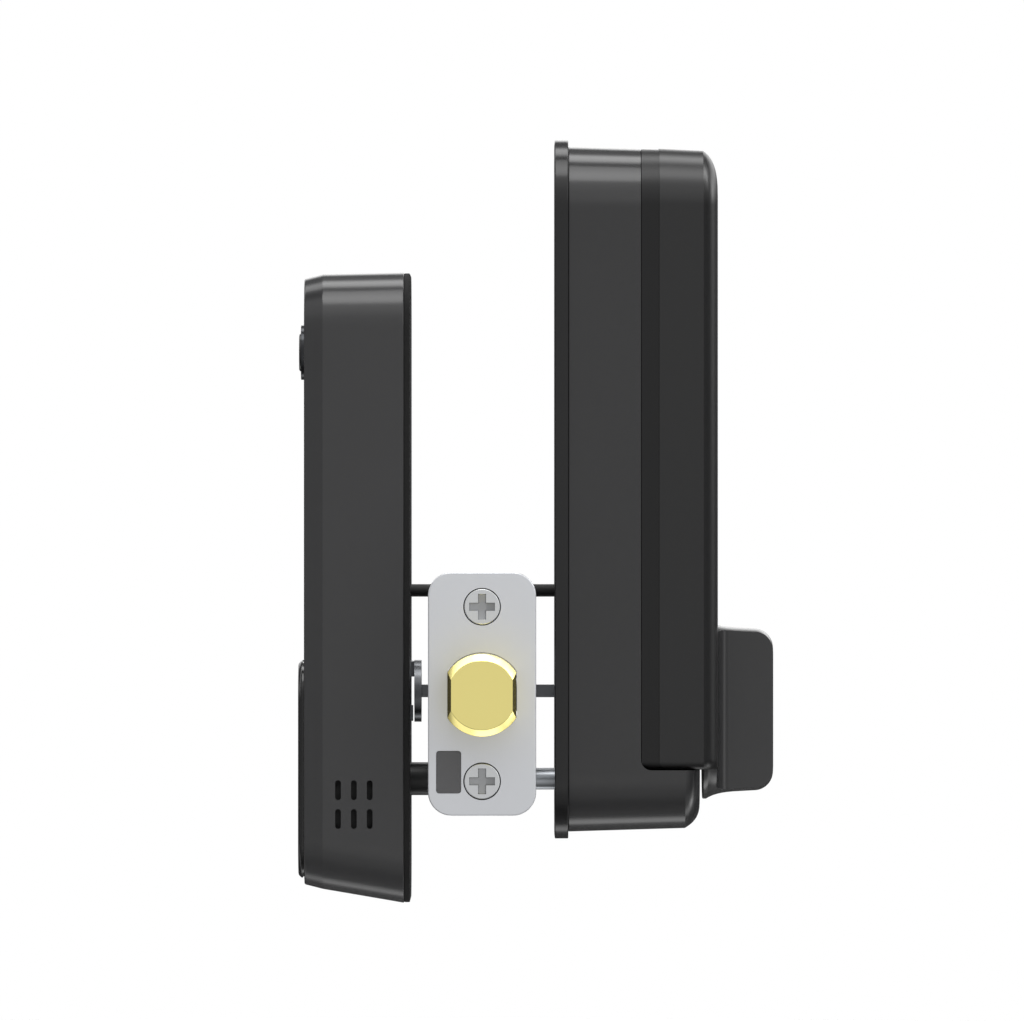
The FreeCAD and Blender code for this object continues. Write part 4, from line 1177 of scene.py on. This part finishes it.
def merge(name: str, pieces: Sequence[bpy.types.Object]) -> bpy.types.Object:
    """Join several meshes into one piece.

    Args:
        name: The piece's name.
        pieces: The meshes.

    Returns:
        The one that is left.
    """
    work = bmesh.new()
    for piece in pieces:
        work.from_mesh(piece.data)
        bpy.data.objects.remove(piece)
    mesh = bpy.data.meshes.new(name)
    work.to_mesh(mesh)
    work.free()
    return link(name, mesh)


# Inside unit --------------------------------------------------------------------------------

@dataclass
class InsideUnit:
    """The motor unit: base frame, casing, battery lid and thumb turn."""

    corner: float = 15.0
    wall: float = 2.3
    draft: float = 0.83
    edge_deep: float = 3.5
    edge_wide: float = 9.4
    edge_crease: float = 2.2
    chin_crease: float = 1.9
    chin_wide: float = 5.9
    band: float = 4.2
    proud: float = 0.12
    heel: float = 2.4
    lid_gap: float = 0.12
    notch: float = 24.3
    island: float = 24.0
    blade_half: float = 5.5
    blade_taper: float = 0.45
    blade_flare: float = 3.5
    blade_foot: float = 3.8
    flange_gap: float = 0.5
    tip_corner: float = 4.5

    def build(self) -> None:
        """Build every visible piece of the unit."""
        self.base()
        self.casing()
        self.lid()
        self.knob()
        self.cells()

    def knob_spot(self) -> tuple[float, float, float]:
        """The point on the thumb turn's axis at Y 0, in mm."""
        return (0.0, 0.0, middle_of("thumb_turn", "z"))

    def soft_edge(self, side: Outline, crease: float, wide: float,
                  level_foot: bool = False) -> tuple[list[Outline], tuple[float, float]]:
        """A front edge that starts with a crease and rolls over to the front.

        Args:
            side: The outline where the side ends.
            crease: How far in the edge's first tangent leads.
            wide: How far in the edge ends.
            level_foot: Whether the foot keeps its height, as on the lid.

        Returns:
            The outlines that follow, and the bend at the first of them.
        """
        front = side.inset(crease, side.y + self.edge_deep)
        middle = front.inset(wide)
        if level_foot:
            front = replace(front, low=side.low, low_radius=side.low_radius)
            middle = replace(middle, low=side.low, low_radius=side.low_radius)
        return [side, front, middle], (side.reach(front) * 0.999, wide - crease)

    def heel_block(self, back: float, grow: float = 0.0) -> bpy.types.Object:
        """A bar along X that leaves the lid's round heel at its inner corner.

        Args:
            back: Where the piece that it cuts starts along Y, in mm.
            grow: How much wider than the heel the round is.

        Returns:
            The bar.
        """
        low, _ = span("battery_lid")
        radius = self.heel + grow
        y, z = back + self.heel, low.z + self.heel
        far_y, far_z = y - radius - 3, z - radius - 3
        section = [(y, far_z), (far_y, far_z), (far_y, z), *arc((y, z), radius, 180, 270, 12)]
        return lofted("heel", [[(x, *point) for point in section] for x in (-60, 60)])

    def base(self) -> None:
        """The moulded frame on the door."""
        low, high = span("interior_base_frame")
        rim = Outline(low.y, high.x, low.z, high.z, self.corner + 0.7)
        ring = skin("inside_base", soften(rim.slab(high.y, 3),
                                          {1: (0.2, 0.2), 2: (0.3, 0.3)}, 4), 18)
        gap = Outline(low.y - 1, 30.3, -29.3, 124.3, 8.3)
        carve(ring, prism("gap", gap, high.y + 1))
        stand_for(even_light(ring), "casings", "interior_base_frame", Finish.SMOOTH_ABS)

    def casing(self) -> None:
        """The inside casing: low behind the lid, full depth at the chin and round the knob."""
        low, high = span("interior_housing")
        _, base_high = span("interior_base_frame")
        lid_low, _ = span("battery_lid")
        back = Outline(base_high.y, high.x, low.z, high.z, self.corner)
        side = back.inset(self.draft, high.y - self.edge_deep)
        rest, bend = self.soft_edge(side, self.chin_crease, self.chin_wide)
        path = [back.inset(6), back, *rest]
        shell = skin("inside_casing", soften(path, {1: (0.25, 0.25), 3: bend}, 9), 18)
        split = lid_low.y - self.lid_gap
        room = block("room", (-60, 60), (split, high.y + 5),
                     (lid_low.z - self.lid_gap, high.z + 20))
        knob = self.knob_spot()
        core = rod("core", split - 1, high.y + 6, self.island, spot=knob, segments=128)
        carve(room, core, self.heel_block(lid_low.y, self.lid_gap))
        hollow_low = back.inset(self.wall + 0.2, back.y - 1)
        hollow = prism("hollow", hollow_low, split - 2.2)
        well = rod("well", split - 4, high.y - self.wall, self.island - self.wall, spot=knob,
                   segments=96)
        bore = rod("bore", 60, 80, 6.02, spot=knob)
        tray_low, tray_high = span("battery_tray")
        bay = block("bay", (tray_low.x - 0.2, tray_high.x + 0.2), (split - 5, split + 5),
                    (tray_low.z - 0.2, tray_high.z + 0.2))
        pinhole = rod("pinhole", 50, 60, 2.65, spot=(0, 0, middle_of("setup_button", "z")))
        carve(shell, room, hollow, well, bore, bay, pinhole)
        stand_for(even_light(shell), "casings", "interior_housing", Finish.POWDERED_ZINC)

    def lid(self) -> None:
        """The battery lid: a band at its foot, a soft front edge, a round heel and the notch."""
        low, high = span("battery_lid")
        line = low.y + self.band
        edge_start = high.y - self.edge_deep
        side = Outline(line, high.x, low.z, high.z, 13.4, self.heel)
        upper = Outline(edge_start, high.x - 0.49, low.z, high.z - 0.49, 13.1, self.heel)
        rest, bend = self.soft_edge(upper, self.edge_crease, self.edge_wide, True)
        path = [side.inset(1.5), side, *rest]
        cover = skin("battery_lid_shell", soften(path, {1: (0.1, 0.1), 3: bend}, 10), 20)
        root = Outline(low.y, high.x - self.proud, low.z, high.z - self.proud, 13.3, self.heel)
        over = replace(root.inset(self.proud + 0.04), y=line + self.heel + 0.4,
                       low=root.low)
        band = skin("battery_lid_band", soften([root.inset(1.5), root, over, over.inset(1.5)],
                                               {1: (0.1, 0.1)}, 2), 20)
        hollow = Outline(low.y - 1, high.x - 2.6, low.z + 2.4, high.z - 3.0, 11, 1)
        knob = self.knob_spot()
        for piece, back in ((cover, line), (band, low.y)):
            under = prism("under", hollow, high.y - 3.6)
            circle = rod("circle", 40, 90, self.notch, spot=knob, segments=128)
            below = block("below", (-self.notch, self.notch), (40, 90), (low.z - 20, knob[2]))
            carve(piece, under, circle, below, self.heel_block(back))
        stand_for(even_light(cover), "battery_lid", "battery_lid", Finish.MOULDED_ABS)
        # The band's darker ABS is painted shade, for its tilt away from the light.
        ride_along(even_light(band), "battery_lid", Finish.SHADED_BAND_ABS)

    def knob(self) -> None:
        """The thumb turn: a thin flange that sweeps up into an upright blade."""
        low, high = span("thumb_turn")
        radius = (high.x - low.x) / 2
        stem, foot, round_by = radius - 1.95, low.y + 1.4, self.tip_corner
        back = low.y + self.flange_gap
        profile = [(back, 0), (back, radius - 0.2), (back + 0.2, radius), (foot, radius)]
        profile += [(foot + rise, stem + 1.95 * math.exp(-rise / 3))
                    for rise in (0.5, 1.1, 1.8, 2.6, 3.6, 4.8, 6.4, 8.4)]
        profile += arc((high.y - round_by, stem - 0.05 - round_by), round_by, 90, 8, 12)
        profile += [(high.y, stem - round_by - 0.6), (high.y, 0)]
        knob = turned("thumb_turn_knob", profile, spot=self.knob_spot(), segments=144)
        tools = [self.flank(side, low.y + self.blade_foot, high.y + 4) for side in (-1, 1)]
        bore = rod("bore", 60, 76.5, 4.0, spot=self.knob_spot())
        carve(knob, *tools)
        ease(knob, 0.35, 38, 3)
        carve(knob, bore, sharp_degrees=45)
        stand_for(even_light(knob), "knob", "thumb_turn", Finish.SATIN_PC)

    def flank(self, side: int, foot: float, top: float) -> bpy.types.Object:
        """What is cut away beside the blade, with a round flare at its foot.

        Args:
            side: 1 for +X and -1 for -X.
            foot: Where the cut starts along Y, in mm.
            top: Where it ends.

        Returns:
            The cutter.
        """
        flare, half = self.blade_flare, self.blade_half
        section = [(40, foot)]
        section += [(x, y) for y, x in arc((foot + flare, half + flare), flare, 180, 270, 8)]
        section += [(half - self.blade_taper, top), (40, top)]
        return lofted("flank", [[(side * x, y, z) for x, y in section] for z in (-60, 50)])

    def cells(self) -> None:
        """The four AA cells in plain film, with a copper-coloured band at one end."""
        low, high = span("battery_cells")
        middle, y = (low.z + high.z) / 2, (low.y + high.y) / 2
        radius = (high.y - low.y) / 2
        pieces, bands = [], []
        for number in range(4):
            x = low.x + radius + number * (high.x - low.x - 2 * radius) / 3
            sign = 1 if number % 2 else -1
            can = [(-23.7, 0), (-23.7, radius - 0.9)]
            can += arc((-23.2, radius - 0.5), 0.5, 180, 90, 4)
            can += arc((25.0, radius - 0.5), 0.5, 90, 0, 4)
            can += [(25.6, radius - 1.6), (25.6, 2.7), (26.5, 2.7), (26.8, 2.3), (26.8, 0)]
            shaped = [(sign * along, across) for along, across in can]
            pieces.append(turned("cell", shaped, "Z", (x, y, middle), 48))
            band = [(10, radius - 0.5), (10, radius + 0.03), (24.6, radius + 0.03),
                    (24.6, radius - 0.5), (10, radius - 0.5)]
            shaped = [(sign * along, across) for along, across in band]
            bands.append(turned("band", shaped, "Z", (x, y, middle), 48))
        stand_for(merge("aa_cells", pieces), "casings", "battery_cells", Finish.CELL_FILM)
        ride_along(merge("cell_bands", bands), "casings", Finish.CELL_COPPER)


# What stays as the frame made it ------------------------------------------------------------

@dataclass(frozen=True)
class HiddenWorks:
    """The pieces inside, whose shapes are already right: each gets its finish."""

    finishes: dict[Finish, tuple[str, ...]] = field(default_factory=lambda: {
        Finish.DIP_COAT: ("exterior_backplate", "interior_plate"),
        Finish.ZINC_STEEL: ("exterior_screws", "housing_screws", "through_bolts",
                            "gearbox_plate", "latch_case", "latch_tube", "bolt_tail",
                            "gear_motor"),
        Finish.GROUND_STEEL: ("bolt_core", "latch_hub", "spindle", "idler_axle", "motor_shaft",
                              "turn_shaft", "shaft_clip", "cover_pin", "cover_clip", "plug_cam",
                              "motor_pinion"),
        Finish.CYLINDER_BRASS: ("key_cylinder", "key_plug"),
        Finish.SINTERED_BRONZE: ("turn_bushes",),
        Finish.SOLDER_MASK: ("exterior_board", "interior_board"),
        Finish.SOUNDER: ("speaker", "button_switch", "battery_tray"),
        Finish.ACETAL: ("hub_gear", "idler_gear", "turn_gear", "harness_plugs"),
        Finish.SPRING_NICKEL: ("battery_contacts",),
        Finish.DIFFUSER: ("light_guide",),
        Finish.PVC_SHEATH: ("harness_lead",),
        Finish.SATIN_PC: ("setup_button",),
    })

    def dress(self) -> None:
        """Give each node its finish."""
        for finish, nodes in self.finishes.items():
            for node in nodes:
                finish.on(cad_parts[node])
                LOG.info("%s is dressed in %s", node, finish.value.name)


# Studio -------------------------------------------------------------------------------------

@dataclass(frozen=True)
class Studio:
    """A pale floor, soft light from all round and a long lens at the latch's side."""

    distance: float = 3.3
    lens: float = 494.0
    target: tuple[float, float, float] = (0.0603, 0.02423, 0.04275)
    floor_z: float = -0.1
    floor_radius: float = 0.6
    round_panels: dict[float, float] = field(default_factory=lambda: {
        -180: 0.06, -150: 0.1, -128: 0.25, -119: 2.0, -112: 2.0, -102: 0.35, -70: 0.15,
        -45: 0.5, -22: 0.8, 0: 0.72, 22: 0.8, 45: 1.4, 68: 1.5, 82: 0.15, 95: 0.3,
        103: 4.6, 114: 4.6, 126: 0.4, 146: 0.2, 160: 1.8, 169: 1.8, 178: 0.06})
    side_panels: dict[float, float] = field(default_factory=lambda: {
        -1.0: 0.5, -0.6: 0.6, -0.25: 0.6, -0.08: 1.0, 0.3: 1.0, 0.52: 0.6, 0.68: 0.9,
        0.8: 2.0, 0.88: 0.9, 0.95: 0.3, 1.0: 0.25})

    def build(self) -> None:
        """Set up camera, floor and light."""
        self.camera()
        self.floor()
        self.sky()
        self.lamps()

    def camera(self) -> None:
        """A long lens that looks along -X at the latch's side."""
        data = bpy.data.cameras.new("camera")
        data.lens, data.sensor_width = self.lens, 36.0
        data.clip_start, data.clip_end = 0.1, 50.0
        camera = bpy.data.objects.new("camera", data)
        camera.location = Vector(self.target) + Vector((self.distance, 0, 0))
        camera.rotation_euler = (math.pi / 2, 0, math.pi / 2)
        bpy.context.scene.collection.objects.link(camera)
        bpy.context.scene.camera = camera

    def floor(self) -> None:
        """A round pale floor below the lock."""
        work = bmesh.new()
        bmesh.ops.create_circle(work, cap_ends=True, segments=96, radius=self.floor_radius)
        for vertex in work.verts:
            vertex.co.z = self.floor_z
        piece = mesh_object("studio_floor", work)
        piece.data.materials.append(
            Surface("pale_floor", "f2f2f1", 0.7, grain_mm=3.0, relief_mm=0.01,
                    mottle=0.01).material())
        piece.visible_glossy = False

    def sky(self) -> None:
        """White behind the lock, and soft panels round it for what it lights and mirrors."""
        world = bpy.data.worlds.new("studio")
        bpy.context.scene.world = world
        world.use_nodes = True
        tree = world.node_tree
        tree.nodes.clear()
        place = add(tree, "ShaderNodeTexCoord")
        parts = add(tree, "ShaderNodeSeparateXYZ", {"Vector": place.outputs["Generated"]})
        angle = add(tree, "ShaderNodeMath", {0: parts.outputs["Z"], 1: parts.outputs["X"]},
                    operation="ARCTAN2")
        round_it = self.panels(tree, angle.outputs[0], (-math.pi, math.pi), self.round_panels, 180)
        along_it = self.panels(tree, parts.outputs["Y"], (-1.0, 1.0), self.side_panels, 1)
        light = add(tree, "ShaderNodeMath", {0: round_it, 1: along_it}, operation="MULTIPLY")
        soft = add(tree, "ShaderNodeBackground", {"Color": (1, 1, 1, 1),
                                                  "Strength": light.outputs[0]})
        plain = add(tree, "ShaderNodeBackground", {"Color": (1, 1, 1, 1), "Strength": 1.0})
        seen = add(tree, "ShaderNodeLightPath")
        both = add(tree, "ShaderNodeMixShader", {0: seen.outputs["Is Camera Ray"],
                                                 1: soft.outputs[0], 2: plain.outputs[0]})
        add(tree, "ShaderNodeOutputWorld", {"Surface": both.outputs[0]})

    def panels(self, tree: bpy.types.NodeTree, source: bpy.types.NodeSocket,
               reach: tuple[float, float], steps: dict[float, float],
               scale: float) -> bpy.types.NodeSocket:
        """Brightness along one direction, from a few named places.

        Args:
            tree: The world's tree.
            source: The direction's value.
            reach: Its lowest and highest value.
            steps: Place to brightness; places go from -scale to scale.
            scale: The places' own limit.

        Returns:
            The brightness.
        """
        share = add(tree, "ShaderNodeMapRange", {"Value": source, "From Min": reach[0],
                                                 "From Max": reach[1]})
        ramp = add(tree, "ShaderNodeValToRGB", {"Fac": share.outputs["Result"]})
        ramp.color_ramp.interpolation = "EASE"
        most = max(steps.values())
        for number, (spot, bright) in enumerate(sorted(steps.items())):
            where = (spot / scale + 1) / 2
            stops = ramp.color_ramp.elements
            stop = stops[number] if number < 2 else stops.new(where)
            stop.position = where
            stop.color = (bright / most,) * 3 + (1.0,)
        out = add(tree, "ShaderNodeMath", {0: ramp.outputs["Color"], 1: most},
                  operation="MULTIPLY")
        return out.outputs[0]

    def lamps(self) -> None:
        """A large soft box above and a weak one at the camera's side."""
        self.lamp("soft_box_above", (0.3, 0.02, 0.9), 0.5, 2.0)
        self.lamp("soft_box_side", (1.2, 0.5, 0.6), 0.8, 1.0)

    def lamp(self, name: str, spot: Sequence[float], size: float, power: float) -> None:
        """An area lamp that looks at the lock's middle."""
        data = bpy.data.lights.new(name, "AREA")
        data.shape, data.size, data.energy = "DISK", size, power
        lamp = bpy.data.objects.new(name, data)
        lamp.location = spot
        aim = Vector((0.02, 0.02, 0.04)) - Vector(spot)
        lamp.rotation_euler = aim.to_track_quat("-Z", "Y").to_euler()
        bpy.context.scene.collection.objects.link(lamp)


def main() -> None:
    """Build the studio, the outside unit, the latch, the inside unit and the works."""
    logging.basicConfig(level=logging.INFO, format="%(name)s: %(message)s")
    bpy.context.scene.view_settings.view_transform = "Standard"
    Studio().build()
    OutsideUnit().build()
    EdgeLatch().build()
    InsideUnit().build()
    HiddenWorks().dress()


if __name__ == "__main__":
    main()
